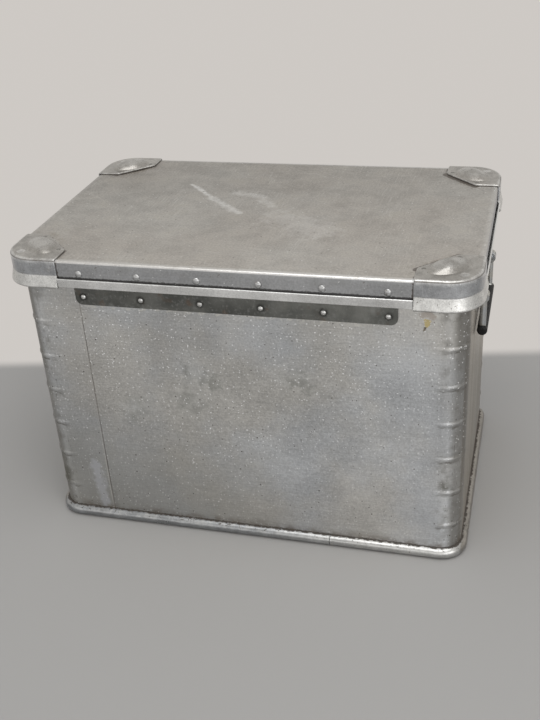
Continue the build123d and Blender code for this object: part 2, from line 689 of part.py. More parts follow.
def handle_bracket(side):
    """Bent sheet bracket with two feet and two ears round one arm."""
    y = side * HANDLE_ARM_SPACING / 2
    inside, outside, half = BRACKET_EAR_INSIDE, BRACKET_EAR_OUTSIDE, BRACKET_HALF
    z = (HANDLE_AXIS_Z - BRACKET_HEIGHT / 2, HANDLE_AXIS_Z + BRACKET_HEIGHT / 2)
    base = span_box((END_WALL_X, END_WALL_X + BRACKET_SHEET), (y - half, y + half), z)
    base = fillet(base.edges().filter_by(Axis.X), BRACKET_CORNER)
    ear = rod(BRACKET_EAR_RADIUS, (HANDLE_AXIS_X, y - outside, HANDLE_AXIS_Z),
              (HANDLE_AXIS_X, y + outside, HANDLE_AXIS_Z))
    ear += span_box((END_WALL_X + BRACKET_SHEET, HANDLE_AXIS_X), (y - outside, y + outside),
                    (HANDLE_AXIS_Z - BRACKET_EAR_RADIUS, HANDLE_AXIS_Z + BRACKET_EAR_RADIUS))
    reach = BRACKET_EAR_RADIUS + CUT_MARGIN
    ear -= span_box((END_WALL_X + BRACKET_SHEET, HANDLE_AXIS_X + reach), (y - inside, y + inside),
                    (HANDLE_AXIS_Z - reach, HANDLE_AXIS_Z + reach))
    ear -= rod(HANDLE_PIN_RADIUS, (HANDLE_AXIS_X, y - half, HANDLE_AXIS_Z),
               (HANDLE_AXIS_X, y + half, HANDLE_AXIS_Z))
    return drill(base + ear, handle_rivet_places())


def handle_pins():
    """Two headed pivot pins through the brackets' ears."""
    pins = []
    head_radius, head = HANDLE_PIN_HEAD
    x, z, outside = HANDLE_AXIS_X, HANDLE_AXIS_Z, BRACKET_EAR_OUTSIDE
    for side in (-1, 1):
        y = side * HANDLE_ARM_SPACING / 2
        pin = rod(HANDLE_PIN_RADIUS, (x, y - outside, z), (x, y + outside, z))
        for s in (-1, 1):
            pin += rod(head_radius, (x, y + s * outside, z), (x, y + s * (outside + head), z))
        pins.append(pin)
    return pins


# Toggle latch, modelled at x = 0

def at_front(x, reach, z):
    """Point in front of the body's front wall."""
    return (x, FRONT_WALL_Y - reach, z)


def front_box(x, reach, z):
    """Box given by its distances outwards from the front wall."""
    return span_box(x, (FRONT_WALL_Y - reach[0], FRONT_WALL_Y - reach[1]), z)


def cheek_outside():
    return LEVER_WIDTH / 2


def ear_outside():
    return cheek_outside() + EAR_GAP + EAR_SHEET


def latch_base():
    """Base plate on the front wall with two ears for the lever's pin."""
    half = LATCH_BASE_WIDTH / 2
    plate = front_box((-half, half), (0, LATCH_BASE_SHEET), (LATCH_BASE_BOTTOM, LATCH_BASE_TOP))
    plate = fillet(plate.edges().filter_by(Axis.Y), LATCH_BASE_CORNER)
    pivot = at_front(0, LATCH_PIVOT_REACH, LATCH_PIVOT_Z)
    for s in (-1, 1):
        x = sorted((s * (cheek_outside() + EAR_GAP), s * ear_outside()))
        ear = front_box(x, (LATCH_BASE_SHEET, LATCH_PIVOT_REACH),
                        (LATCH_PIVOT_Z - EAR_RADIUS, LATCH_PIVOT_Z + EAR_RADIUS))
        ear += rod(EAR_RADIUS, (x[0], *pivot[1:]), (x[1], *pivot[1:]))
        plate += ear
    plate -= rod(LATCH_PIN_RADIUS, (-half, *pivot[1:]), (half, *pivot[1:]))
    return drill(plate, latch_rivet_places(0))


def latch_pin():
    """Pivot pin of the lever, flush with the ears."""
    pivot = at_front(0, LATCH_PIVOT_REACH, LATCH_PIVOT_Z)[1:]
    return rod(LATCH_PIN_RADIUS, (-ear_outside(), *pivot), (ear_outside(), *pivot))


def latch_lever():
    """Bent sheet lever: face, two cheeks and a lifted finger tip."""
    half = LEVER_WIDTH / 2
    face_in = LEVER_FACE_REACH - LEVER_SHEET
    lever = front_box((-half, half), (face_in, LEVER_FACE_REACH), (LEVER_TIP, LEVER_TOP))
    for s in (-1, 1):
        x = sorted((s * half, s * (half - LEVER_SHEET)))
        lever += front_box(x, (LEVER_CHEEK_REACH, face_in), (LATCH_PIVOT_Z - LEVER_CHEEK_DROP, LEVER_TOP))
    lever += lever_tip()
    pivot = at_front(0, LATCH_PIVOT_REACH, LATCH_PIVOT_Z)[1:]
    lever -= rod(LATCH_PIN_RADIUS + LATCH_PIN_CLEARANCE, (-2 * half, *pivot), (2 * half, *pivot))
    eye = at_front(0, LOOP_PIVOT_REACH, LOOP_PIVOT_Z)[1:]
    return lever - rod(LOOP_WIRE_RADIUS + LATCH_PIN_CLEARANCE, (-2 * half, *eye), (2 * half, *eye))


def lever_tip():
    """Finger tip of the lever, bent outwards from the face's lower edge."""
    inside, outside = LEVER_FACE_REACH - LEVER_SHEET, LEVER_FACE_REACH
    lift, low = LEVER_TIP_LIFT, LEVER_TIP - LEVER_TIP_LENGTH
    points = [(inside, LEVER_TIP), (inside + lift, low), (outside + lift, low), (outside, LEVER_TIP)]
    section = make_face(Polyline(*[(FRONT_WALL_Y - reach, z) for reach, z in points], close=True))
    return Pos(-LEVER_WIDTH / 2, 0, 0) * extrude(Plane.YZ * section, amount=LEVER_WIDTH)


def latch_loop():
    """Wire loop that hangs from the lever, with its ends turned into the cheeks."""
    half, end = LOOP_HALF_WIDTH, LOOP_END_X
    top, low = LOOP_PIVOT_Z, LOOP_PIVOT_Z - LOOP_LENGTH
    points = [(-end, top), (-half, top), (-half, low), (half, low), (half, top), (end, top)]
    radii = [LOOP_END_BEND, LOOP_BEND_RADIUS, LOOP_BEND_RADIUS, LOOP_END_BEND]
    path = FilletPolyline(*[at_front(x, LOOP_PIVOT_REACH, z) for x, z in points], radius=radii)
    return sweep(Plane(origin=path @ 0, z_dir=path % 0) * Circle(LOOP_WIRE_RADIUS), path=path)


def latch_keeper():
    """Plate on the lid's flange with an upturned hook for the loop's bar."""
    half, root = KEEPER_WIDTH / 2, LID_OVERHANG + KEEPER_SHEET
    plate = front_box((-half, half), (LID_OVERHANG, root),
                      (KEEPER_BOTTOM, KEEPER_BOTTOM + KEEPER_HEIGHT))
    plate = fillet(plate.edges().filter_by(Axis.Y), KEEPER_CORNER)
    hook = (-HOOK_WIDTH / 2, HOOK_WIDTH / 2)
    plate += front_box(hook, (root, HOOK_REACH), (HOOK_SHELF_Z, HOOK_SHELF_Z + HOOK_SHELF))
    plate += front_box(hook, (HOOK_REACH - HOOK_LIP, HOOK_REACH),
                       (HOOK_SHELF_Z, HOOK_SHELF_Z + HOOK_HEIGHT))
    return drill(plate, keeper_rivet_places(0))


# Lid stay at the +X end

def polar(angle):
    """Point on the stays' circle round the hinge, above (positive) or below its level."""
    forward = STAY_ARM * math.cos(math.radians(angle))
    return (HINGE_AXIS_Y - forward, HINGE_AXIS_Z + STAY_ARM * math.sin(math.radians(angle)))


def stay_ear_x():
    """X range of the lid bracket's ear, clear of the frame's shelf."""
    outside = END_WALL_X - FRAME_SHELF_INSET - STAY_BRACKET_INSET + STAY_BRACKET_SHEET
    return (outside - STAY_BRACKET_SHEET, outside)


def stay_x():
    high = stay_ear_x()[0] - STAY_GAP
    return (high - STAY_THICKNESS, high)


def stay_reach(opening):
    """Distance from the stay's pivot to the stud at a lid opening in degrees."""
    return 2 * STAY_ARM * math.sin(math.radians((STAY_LID_ANGLE + STAY_BODY_ANGLE + opening) / 2))


def lid_stay():
    """Flat bar that hangs from the lid; its slot runs along the stud as the lid opens."""
    pivot, stud = polar(STAY_LID_ANGLE), polar(-STAY_BODY_ANGLE)
    near = stay_reach(0) - STAY_SLOT_MARGIN
    far = stay_reach(LID_OPENING) + STAY_SLOT_CLEARANCE
    length = far + STAY_END
    slot_width = 2 * (STAY_PIN_RADIUS + STAY_SLOT_CLEARANCE)
    bar = Pos(length / 2, 0) * SlotCenterToCenter(length, STAY_WIDTH)
    bar -= Pos((near + far) / 2, 0) * SlotCenterToCenter(far - near, slot_width)
    bar -= Circle(STAY_PIN_RADIUS + STAY_PIN_CLEARANCE)
    x = stay_x()
    along = Vector(0, stud[0] - pivot[0], stud[1] - pivot[1])
    plane = Plane(origin=(x[0], *pivot), x_dir=along, z_dir=(1, 0, 0))
    return extrude(plane * bar, amount=x[1] - x[0])


def stay_bracket():
    """Angle on top of the lid frame's shelf; its ear carries the stay."""
    y, z = polar(STAY_LID_ANGLE)
    half = STAY_BRACKET_LENGTH / 2
    ear_x = stay_ear_x()
    base_top = FRAME_TOP + STAY_BRACKET_SHEET
    bracket = span_box((ear_x[0], ear_x[1] + STAY_BRACKET_FOOT), (y - half, y + half), (FRAME_TOP, base_top))
    ear = span_box(ear_x, (y - half, y + half), (z - STAY_BRACKET_DROP, base_top))
    lower = ear.edges().filter_by(Axis.X).sort_by(Axis.Z)[:2]
    bracket += fillet(lower, STAY_BRACKET_CORNER)
    return bracket - rod(STAY_PIN_RADIUS, (ear_x[0] - CUT_MARGIN, y, z), (ear_x[1] + CUT_MARGIN, y, z))


def stay_pin():
    """Rivet-like pivot of the stay in the bracket's ear."""
    y, z = polar(STAY_LID_ANGLE)
    low, high = stay_x()[0] - STAY_GAP, stay_ear_x()[1]
    head_radius, head = STAY_HEAD
    tail_radius, tail = STAY_TAIL
    pin = rod(STAY_PIN_RADIUS, (low, y, z), (high, y, z))
    pin += rod(head_radius, (low - head, y, z), (low, y, z))
    return pin + rod(tail_radius, (high, y, z), (high + tail, y, z))


def stud_bore():
    """Hole for the stud in the end wall."""
    y, z = polar(-STAY_BODY_ANGLE)
    return rod(STAY_PIN_RADIUS, (END_WALL_X - 2 * BODY_WALL, y, z), (END_WALL_X + BODY_WALL, y, z))


def stay_stud():
    """Stud riveted through the end wall, with a shoulder outside the stay and a head inside it."""
    y, z = polar(-STAY_BODY_ANGLE)
    inner = stay_x()[0] - STAY_GAP
    shoulder_end = stay_x()[1] + STAY_GAP
    wall_inside = END_WALL_X - BODY_WALL
    head_radius, head = STAY_HEAD
    stud = rod(STAY_PIN_RADIUS, (inner - head, y, z), (END_WALL_X, y, z))
    stud += rod(head_radius, (inner - head, y, z), (inner, y, z))
    stud += rod(STUD_SHOULDER_RADIUS, (shoulder_end, y, z), (wall_inside, y, z))
    return stud + facing(END_WALL_X, y, z, RIGHT) * dome(*STUD_WALL_HEAD)


def group(solids):
    return Compound(children=list(solids))


def mirrored(part, end):
    """Copy for the other end of a part modelled at the +X end."""
    return part if end == "right" else mirror(part, Plane.YZ)


def build_parts():
    parts = {
        "body_shell": body_shell(),
        "bottom_sheet": bottom_sheet(),
        "bottom_rail": bottom_rail(),
        "body_rim": body_rim(),
        "hinge_body_leaf": hinge_body_leaf(),
        "hinge_lid_leaf": hinge_lid_leaf(),
        "hinge_pin": hinge_pin(),
        "lid_sheet": lid_sheet(),
        "lid_frame": lid_frame(),
        "lid_seal": lid_seal(),
    }
    sheet_and_leaf = LID_SHEET + FRAME_WALL + HINGE_LEAF
    lid_rivet = rivet(LID_RIVET_HEAD, sheet_and_leaf)
    parts["lid_flange_rivets"] = group([place * lid_rivet for place in lid_rivet_places()])
    leaf_rivet = rivet(LEAF_RIVET_HEAD, HINGE_LEAF + BODY_WALL)
    parts["hinge_leaf_rivets"] = group([place * leaf_rivet for place in leaf_rivet_places()])
    corner_rivet = rivet(CORNER_RIVET_HEAD, CORNER_PLATE + LID_SHEET)
    parts["corner_rivets"] = group([place * corner_rivet for place in corner_rivet_places()])
    casting = corner_casting()
    for name, place in corner_places().items():
        parts[f"corner_{name}"] = place * casting
    parts.update(handle_parts())
    parts.update(latch_parts())
    parts.update(stay_parts())
    return parts


def handle_parts():
    parts = {}
    bracket_rivet = rivet(FITTING_RIVET_HEAD, BRACKET_SHEET + BODY_WALL)
    rivets = [place * bracket_rivet for place in handle_rivet_places()]
    for end, turn in ENDS.items():
        parts[f"handle_bail_{end}"] = turn * handle_bail()
        parts[f"handle_grip_{end}"] = turn * handle_grip()
        parts[f"handle_bracket_{end}_a"] = turn * handle_bracket(-1)
        parts[f"handle_bracket_{end}_b"] = turn * handle_bracket(1)
        parts[f"handle_pins_{end}"] = group([turn * pin for pin in handle_pins()])
        parts[f"handle_rivets_{end}"] = group([turn * one for one in rivets])
    return parts


def latch_parts():
    parts = {}
    base_rivet = rivet(FITTING_RIVET_HEAD, LATCH_BASE_SHEET + BODY_WALL)
    keeper_rivet = rivet(FITTING_RIVET_HEAD, KEEPER_SHEET + LID_SHEET + FRAME_WALL)
    for side, x in LATCHES.items():
        place = Pos(x, 0, 0)
        parts[f"latch_base_{side}"] = place * latch_base()
        parts[f"latch_pin_{side}"] = place * latch_pin()
        parts[f"latch_lever_{side}"] = place * latch_lever()
        parts[f"latch_loop_{side}"] = place * latch_loop()
        parts[f"latch_keeper_{side}"] = place * latch_keeper()
        parts[f"latch_base_rivets_{side}"] = group([p * base_rivet for p in latch_rivet_places(x)])
        parts[f"keeper_rivets_{side}"] = group([p * keeper_rivet for p in keeper_rivet_places(x)])
    return parts


def stay_parts():
    parts = {}
    for end in ENDS:
        parts[f"lid_stay_{end}"] = mirrored(lid_stay(), end)
        parts[f"stay_bracket_{end}"] = mirrored(stay_bracket(), end)
        parts[f"stay_pin_{end}"] = mirrored(stay_pin(), end)
        parts[f"stay_stud_{end}"] = mirrored(stay_stud(), end)
    return parts


os.makedirs("parts", exist_ok=True)
for node, shape in build_parts().items():
    export_step(shape, f"parts/{node}.step")
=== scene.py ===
import json
import math

import bmesh
import bpy
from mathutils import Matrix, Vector

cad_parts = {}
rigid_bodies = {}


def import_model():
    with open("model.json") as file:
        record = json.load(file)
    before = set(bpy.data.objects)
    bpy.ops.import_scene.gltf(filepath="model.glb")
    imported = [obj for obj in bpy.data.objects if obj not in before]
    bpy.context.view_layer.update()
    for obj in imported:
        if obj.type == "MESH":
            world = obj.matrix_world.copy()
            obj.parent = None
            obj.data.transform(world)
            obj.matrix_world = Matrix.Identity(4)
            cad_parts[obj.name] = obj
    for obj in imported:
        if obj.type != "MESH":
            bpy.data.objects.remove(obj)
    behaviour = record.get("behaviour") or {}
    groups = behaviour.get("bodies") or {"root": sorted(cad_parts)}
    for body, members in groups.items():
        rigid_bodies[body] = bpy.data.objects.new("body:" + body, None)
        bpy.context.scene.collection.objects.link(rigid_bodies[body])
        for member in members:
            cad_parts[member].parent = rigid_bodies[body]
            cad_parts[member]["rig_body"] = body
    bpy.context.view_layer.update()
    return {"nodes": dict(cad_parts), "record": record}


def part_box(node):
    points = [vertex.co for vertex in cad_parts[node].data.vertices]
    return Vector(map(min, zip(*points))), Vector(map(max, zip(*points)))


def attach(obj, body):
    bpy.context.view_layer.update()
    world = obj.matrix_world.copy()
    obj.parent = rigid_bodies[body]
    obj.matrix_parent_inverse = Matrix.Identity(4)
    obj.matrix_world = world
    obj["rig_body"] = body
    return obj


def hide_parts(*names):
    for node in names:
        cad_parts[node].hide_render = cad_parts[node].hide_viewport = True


# Aluminium case with a hinged lid: finishes, worn sheet, cast corners, rivets and the studio round it.
# Sections and places are in millimetres and become metres when a mesh is made.

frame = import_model()
MM = 0.001


def span(node):
    """Lowest and highest corner of a part, in millimetres."""
    low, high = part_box(node)
    return low / MM, high / MM


# Sizes read from the frame
WALL = 1.5
CORNER_RADIUS = 28.0
PAN_HIGH = span("bottom_sheet")[1]
HALF_LENGTH = PAN_HIGH.x + WALL
HALF_WIDTH = PAN_HIGH.y + WALL
CORNER_X = HALF_LENGTH - CORNER_RADIUS
CORNER_Y = HALF_WIDTH - CORNER_RADIUS
LID_LOW, LID_HIGH = span("lid_sheet")
FRAME_LOW, FRAME_HIGH = span("lid_frame")
RIM_LOW, RIM_HIGH = span("body_rim")
RAIL_LOW, RAIL_HIGH = span("bottom_rail")
SHELL_LOW, SHELL_HIGH = span("body_shell")
SEAL_LOW, SEAL_HIGH = span("lid_seal")
HINGE_LOW = span("hinge_body_leaf")[0]
OVERHANG = LID_HIGH.x - HALF_LENGTH
LIP_REACH = FRAME_HIGH.x - HALF_LENGTH
SEAL_REACH = SEAL_HIGH.x - HALF_LENGTH

# Sizes of this case's own details
SHEET = 1.5
LID_EDGE_RADIUS = 3.2
LID_SAG = 0.5
FRAME_WALL = 2.0
FRAME_WEB = 1.5
FRAME_SHELF_INSET = 6.0
LIP_WALL = 2.1
LIP_TOP = 390.3
LIP_LEAN = 0.9
LIP_END_GAP = 0.3
RIM_WALL = 1.5
RIM_TOP_SHEET = 2.0
RAIL_FLANGE = 14.0
RAIL_FLANGE_SHEET = 2.0
RAIL_FLAT = 0.5
RAIL_JOINT_X = -113.5
RAIL_JOINT_GAP = 0.5
SEAM_X = 206.8
SEAM_WIDTH = 0.8
SEAM_DEPTH = 0.5
SEAM_SLOPE = 0.3
MARK_CLEARANCE = 0.5                # no other station stands this near to a seam or joint
CASTING_WING = 75.0
CASTING_NOSE = 31.0
CAST_VOXEL = 0.55
BEAD_HEIGHT = 1.05
BEAD_HALF_WIDTH = 5.0
BEAD_TAPER = (-13.0, 7.0)
BEAD_FIRST_Z = 53.5
BEAD_PITCH = 53.2
BEAD_COUNT = 6
BETWEEN_BEADS = (0.3, 0.42, 0.54, 0.66)
WALL_TOP_ROWS = (348.0, 358.0, 368.0, 380.0)
SEAL_WIDTH = 10.0
GRIP_RADIUS = 6.75
GRIP_RING = 0.35
GRIP_RING_PITCH = 4.0
GRIP_PLAIN_END = 7.0
GRIP_END = ((0.0, 0.0), (3.4, 0.0), (5.2, 0.3), (6.3, 1.2), (GRIP_RADIUS, 3.0))   # radius, way from the end

# Dents of each sheet and profile: depth, size, depth of the small ones, seed
DENTS = {
    "wall_sheet": (1.6, 110, 0.25, 3.0),
    "foot_rail": (0.45, 22, 0.12, 5.0),
    "lid_skin": (1.1, 130, 0.22, 7.0),
    "lid_profile": (0.3, 60, 0.05, 11.0),
}

# Head heights of the rivets in each group, and the side that their heads face
RIVETS = {
    "lid_flange_rivets": (2.3, (0, 1, 0)),
    "hinge_leaf_rivets": (1.8, (0, 1, 0)),
    "corner_rivets": (0.7, (0, 0, 1)),
    "handle_rivets_left": (1.8, (-1, 0, 0)),
    "handle_rivets_right": (1.8, (1, 0, 0)),
    "latch_base_rivets_left": (1.8, (0, -1, 0)),
    "latch_base_rivets_right": (1.8, (0, -1, 0)),
    "keeper_rivets_left": (1.8, (0, -1, 0)),
    "keeper_rivets_right": (1.8, (0, -1, 0)),
}
RIVET_SHANK = 1.8
RIVET_TAIL_RADIUS = 2.9
RIVET_TAIL = 1.2
HEAD_SHARE = 0.985                  # of the solid's radius and height, so that no head reaches past its solid
HEAD_HEIGHT_SHARE = 0.98
RIVET_SPIN = (0.03, 0.03, 3.1)      # most that a rivet is turned about each axis, in radians

# Wear, dirt and painted sheen, with places and sizes in millimetres
WALL_MAP = "round_the_wall"         # the wall sheet's own map, which the wall's finish reads
# painted sheen along the wall's bends and on the bead crests
SHEET_SHEEN = (0.78, 0.79, 0.80)
# worn ridges and painted sheen on the castings
CAST_WEAR_AND_SHEEN = (0.80, 0.80, 0.79)
EDGE_WANDER = 1.6                   # how far the edges of dirt wander
# Marks on the rear wall: from (x, z) to (x, z), half width, soft edge and raggedness
SMUDGE_STROKES = (((66, 262), (34, 247), 4, 14, 16), ((-80, 266), (-92, 250), 3, 12, 16),
                  ((-76, 263), (-66, 255), 2, 10, 14))
RUBBED_PATCH = (((226, 92), (221, 26), 3, 9, 7),)
# Spots: place, inner radius, outer radius and raggedness
SMUDGE_SPOTS = (((152, 196), 4, 30, 40), ((70, 215), 4, 34, 50))
CORNER_SPOTS = (((276, 176, 66), 4, 24, 26), ((278, 174, 95), 2, 16, 20), ((-268, 184, 118), 1, 12, 18))
# Drip under a casting: colour, strength and strokes
STAIN = (
    ((0.24, 0.165, 0.105), 0.5, (((-236, 366), (-246, 364), 2.6, 3.0, 4.0),)),
    ((0.50, 0.385, 0.12), 0.8, (((-238, 358.5), (-242.5, 357), 1.7, 1.2, 1.6),
                                ((-239, 355.5), (-241.5, 353.5), 2.2, 1.2, 1.6),
                                ((-238.5, 352.5), (-239.5, 351), 1.6, 1.2, 1.6))),
    ((0.10, 0.07, 0.03), 0.85, (((-238, 348.5), (-236.8, 344.5), 0.8, 1.5, 1.5),)),
)
# Small spots on the wall: how close together, their size, the share of places that have one, and a shift
PAINT_SPECKS = ((90.0, 0.10, 0.5, (0, 0, 0)), (165.0, 0.16, 0.42, (0.3, 0.1, 0)),
                (33.0, 0.045, 0.25, (0.7, 0.4, 0)))
PITS = ((38.0, 0.045, 0.4, (0.7, 0.2, 0)), (100.0, 0.09, 0.16, (0.2, 0.6, 0)))
# Chalk on the lid: strength, from (x, y) to (x, y), half width, soft edge and raggedness
CHALK = ((1.0, (139, -91), (92, -42), 0.8, 4.5, 4), (0.8, (92, -42), (39, 10), 1.0, 8, 6),
         (0.5, (61, -65), (22, -52), 2, 8, 10), (0.45, (22, -52), (1, -20), 2, 9, 10),
         (0.36, (-24, 18), (-84, 60), 8, 30, 34))

# Camera and studio, in metres
CAMERA_PLACE = (-0.3551, 1.2120, 0.9033)
CAMERA_TURN = (60.115, 3.500, -165.194)
CAMERA_LENS = 49.13
CAMERA_SENSOR = 36.0
FLOOR_SIZE = 16.0
BACKDROP_LINE = -0.3226
BACKDROP_SLOPE = 0.2022
# Lamps: name, place, what they look at, width, height and power
LAMPS = (
    ("ceiling", (-0.4, 0.9, 2.9), (0, 0, 0.2), 2.4, 2.0, 34),
    ("window", (-2.3, 2.6, 1.25), (0, 0.1, 0.25), 1.6, 1.9, 20),
    ("fill", (1.9, 2.4, 1.0), (0, 0.1, 0.2), 1.4, 1.4, 3),
    ("horizon", (-0.8, 3.2, 0.6), (0, 0, 0.35), 5.0, 1.1, 13),
)


# Node trees

class Tree:
    """A node tree being built, with short ways to add and join its nodes."""

    def __init__(self, tree):
        self.nodes, self.links = tree.nodes, tree.links

    def node(self, kind, settings=None, **inputs):
        made = self.nodes.new(kind)
        for name, value in (settings or {}).items():
            setattr(made, name, value)
        for name, value in inputs.items():
            self.feed(made.inputs[name.replace("_", " ")], value)
        return made

    def feed(self, socket, value):
        """Joins a socket to another node's output, or sets its number or colour."""
        if isinstance(value, bpy.types.NodeSocket):
            self.links.new(value, socket)
        else:
            socket.default_value = value

    def feed_all(self, sockets, *values):
        for socket, value in zip(sockets, values):
            self.feed(socket, value)

    def calc(self, operation, a, b=0.0, c=None):
        made = self.node("ShaderNodeMath", {"operation": operation})
        self.feed_all(made.inputs, a, b, *([] if c is None else [c]))
        return made.outputs[0]

    def most(self, first, *values):
        """Largest of several masks."""
        for value in values:
            first = self.calc("MAXIMUM", first, value)
        return first

    def product(self, first, *values):
        for value in values:
            first = self.calc("MULTIPLY", first, value)
        return first

    def total(self, first, *values):
        for value in values:
            first = self.calc("ADD", first, value)
        return first


class Finish(Tree):
    """A material being built. Masks run from 0 to 1, and colour is the colour so far."""

    def __init__(self, name, metal, roughness, base):
        self.material = bpy.data.materials.new(name)
        self.material.use_nodes = True
        super().__init__(self.material.node_tree)
        self.shader = self.nodes["Principled BSDF"]
        self.shader.inputs["Metallic"].default_value = metal
        self.shader.inputs["Roughness"].default_value = roughness
        self.shader.inputs["Base Color"].default_value = (*base, 1.0)
        self.place = self.node("ShaderNodeTexCoord").outputs["Object"]
        self.x, self.y, self.z = self.node("ShaderNodeSeparateXYZ", Vector=self.place).outputs
        self.folded = self.vector("ABSOLUTE", self.place).outputs[0]
        self.colour = None

    def vector(self, operation, *values):
        made = self.node("ShaderNodeVectorMath", {"operation": operation})
        self.feed_all(made.inputs, *values)
        return made

    def less(self, first, second):
        return self.calc("SUBTRACT", first, second)

    def size_of(self, value):
        return self.calc("ABSOLUTE", value)

    def grey(self, level):
        return self.node("ShaderNodeCombineColor", Red=level, Green=level, Blue=level).outputs[0]

    def attribute(self, name):
        return self.node("ShaderNodeAttribute", {"attribute_name": name}).outputs["Fac"]

    def scaled(self, vector, scale, shift=(0, 0, 0), turn=(0, 0, 0)):
        turn = [math.radians(angle) for angle in turn]
        made = self.node("ShaderNodeMapping", Vector=vector, Scale=scale, Location=shift, Rotation=turn)
        return made.outputs[0]

    def stretched(self, scale, turn=(0, 0, 0), shift=(0, 0, 0)):
        """Object coordinates turned and then scaled, so that a pattern runs long in one direction."""
        return self.scaled(self.scaled(self.place, (1, 1, 1), shift, turn), scale)

    def noise(self, scale, detail=4.0, place=None, rough=0.55, shift=None):
        if shift:
            place = self.stretched((1, 1, 1), shift=shift)
        return self.node("ShaderNodeTexNoise", Vector=place or self.place, Scale=scale, Detail=detail,
                         Roughness=rough).outputs[0]

    def ramp(self, value, low, high, to_low=0.0, to_high=1.0):
        """Value carried from low..high to another range, held at both ends."""
        made = self.node("ShaderNodeMapRange", {"interpolation_type": "SMOOTHSTEP"}, Value=value)
        self.feed_all([made.inputs[name] for name in ("From Min", "From Max", "To Min", "To Max")],
                      low, high, to_low, to_high)
        return made.outputs[0]

    def fall(self, value, low, high):
        """Mask that is 1 below low and 0 above high."""
        return self.ramp(value, low, high, 1.0, 0.0)

    def spread(self, noise, to_low, to_high):
        """Noise carried to a range; most of its values lie between 0.3 and 0.7."""
        return self.ramp(noise, 0.3, 0.7, to_low, to_high)

    def swing(self, noise, amount):
        """Noise carried to as much below zero as above it."""
        return self.spread(noise, -amount, amount)

    def tint(self, amount, first, second, mode="MIX"):
        """Two colours mixed by an amount."""
        made = self.node("ShaderNodeMix", {"data_type": "RGBA", "blend_type": mode})
        first, second = ((*value, 1.0) if isinstance(value, tuple) else value for value in (first, second))
        self.feed_all((made.inputs[0], made.inputs[6], made.inputs[7]), amount, first, second)
        return made.outputs[2]

    def coat(self, colour, *masks):
        """Tints the colour so far towards another, by the product of masks and strengths."""
        self.colour = self.tint(self.product(*masks), self.colour, colour)

    def shade(self, factor):
        """Multiplies the colour so far."""
        self.colour = self.tint(1.0, self.colour, factor, "MULTIPLY")

    def level(self, amount, first, second):
        """Two numbers mixed by an amount."""
        made = self.node("ShaderNodeMix")
        self.feed_all((made.inputs[0], made.inputs[2], made.inputs[3]), amount, first, second)
        return made.outputs[0]

    def within(self, value, low, high, soft):
        """Mask of a band of values with soft sides."""
        above, below = self.ramp(value, low - soft, low + soft), self.fall(value, high - soft, high + soft)
        return self.product(above, below)

    def near(self, point, inner, outer, ragged=0.0):
        """Mask of a round place on the object, ragged by noise; all in millimetres."""
        distance = self.vector("DISTANCE", self.place, [value * MM for value in point]).outputs["Value"]
        if ragged:
            distance = self.total(distance, self.product(self.less(self.noise(60, 5), 0.5), ragged * MM))
        return self.fall(distance, inner * MM, outer * MM)

    def stroke(self, start, end, width, soft, ragged=0.0, place=None):
        """Mask of a straight mark between two points of the object, ragged by noise; all in millimetres."""
        start, end = Vector(start) * MM, Vector(end) * MM
        run = end - start
        offset = self.vector("SUBTRACT", place or self.place, start).outputs[0]
        share = self.vector("DOT_PRODUCT", offset, run / run.length_squared).outputs["Value"]
        foot = self.vector("SCALE", run)
        self.feed(foot.inputs["Scale"], self.node("ShaderNodeClamp", Value=share).outputs[0])
        distance = self.vector("DISTANCE", offset, foot.outputs[0]).outputs["Value"]
        if ragged:
            distance = self.total(distance, self.swing(self.noise(120, 6), ragged / 2 * MM))
        return self.fall(distance, width * MM, (width + soft) * MM)

    def specks(self, scale, size, share, shift=(0, 0, 0), place=None):
        """Mask of small round spots: one in a share of the cells, of uneven size."""
        flat = {"voronoi_dimensions": "2D"} if place else None
        moved = self.scaled(place or self.place, (1, 1, 1), shift)
        cells = self.node("ShaderNodeTexVoronoi", flat, Vector=moved, Scale=scale)
        pick = self.node("ShaderNodeSeparateColor", Color=cells.outputs["Color"])
        chosen = self.ramp(pick.outputs[0], 1 - share, 1 - share + 0.001)
        limit = self.ramp(pick.outputs[1], 0.0, 1.0, size * 0.35, size)
        inside = self.less(limit, cells.outputs["Distance"])
        return self.product(chosen, self.ramp(inside, 0.0, size * 0.25))

    def scratches(self, turn, scale=(14.0, 900.0, 14.0), low=0.64):
        """Mask of fine scratches that run mostly one way, in patches."""
        lines = self.noise(1.0, 2.0, self.stretched(scale, turn))
        patches = self.noise(9.0, 3.0, self.stretched((1, 1, 1), turn, (3.0, 1.0, 2.0)))
        return self.product(self.ramp(lines, low, low + 0.12), self.ramp(patches, 0.42, 0.62))

    def rings(self, node, inner, outer, ragged):
        """Mask of rings round the rivets of a group."""
        places = [(low + high) / 2 / MM for low, high in solid_boxes(node)]
        return self.most(*(self.near(place, inner, outer, ragged) for place in places))

    def bump(self, height, depth, before=None):
        """Relief of a height pattern, depth in millimetres, added to an earlier relief."""
        made = self.node("ShaderNodeBump", Height=height, Strength=1.0, Distance=depth * MM)
        if before is not None:
            self.feed(made.inputs["Normal"], before)
        return made.outputs[0]

    def finish(self, roughness, metal=None, normal=None):
        """Ends the material with its colour so far."""
        for name, value in (("Base Color", self.colour), ("Roughness", roughness), ("Metallic", metal),
                            ("Normal", normal)):
            if value is not None:
                self.feed(self.shader.inputs[name], value)
        return self.material


# Finishes

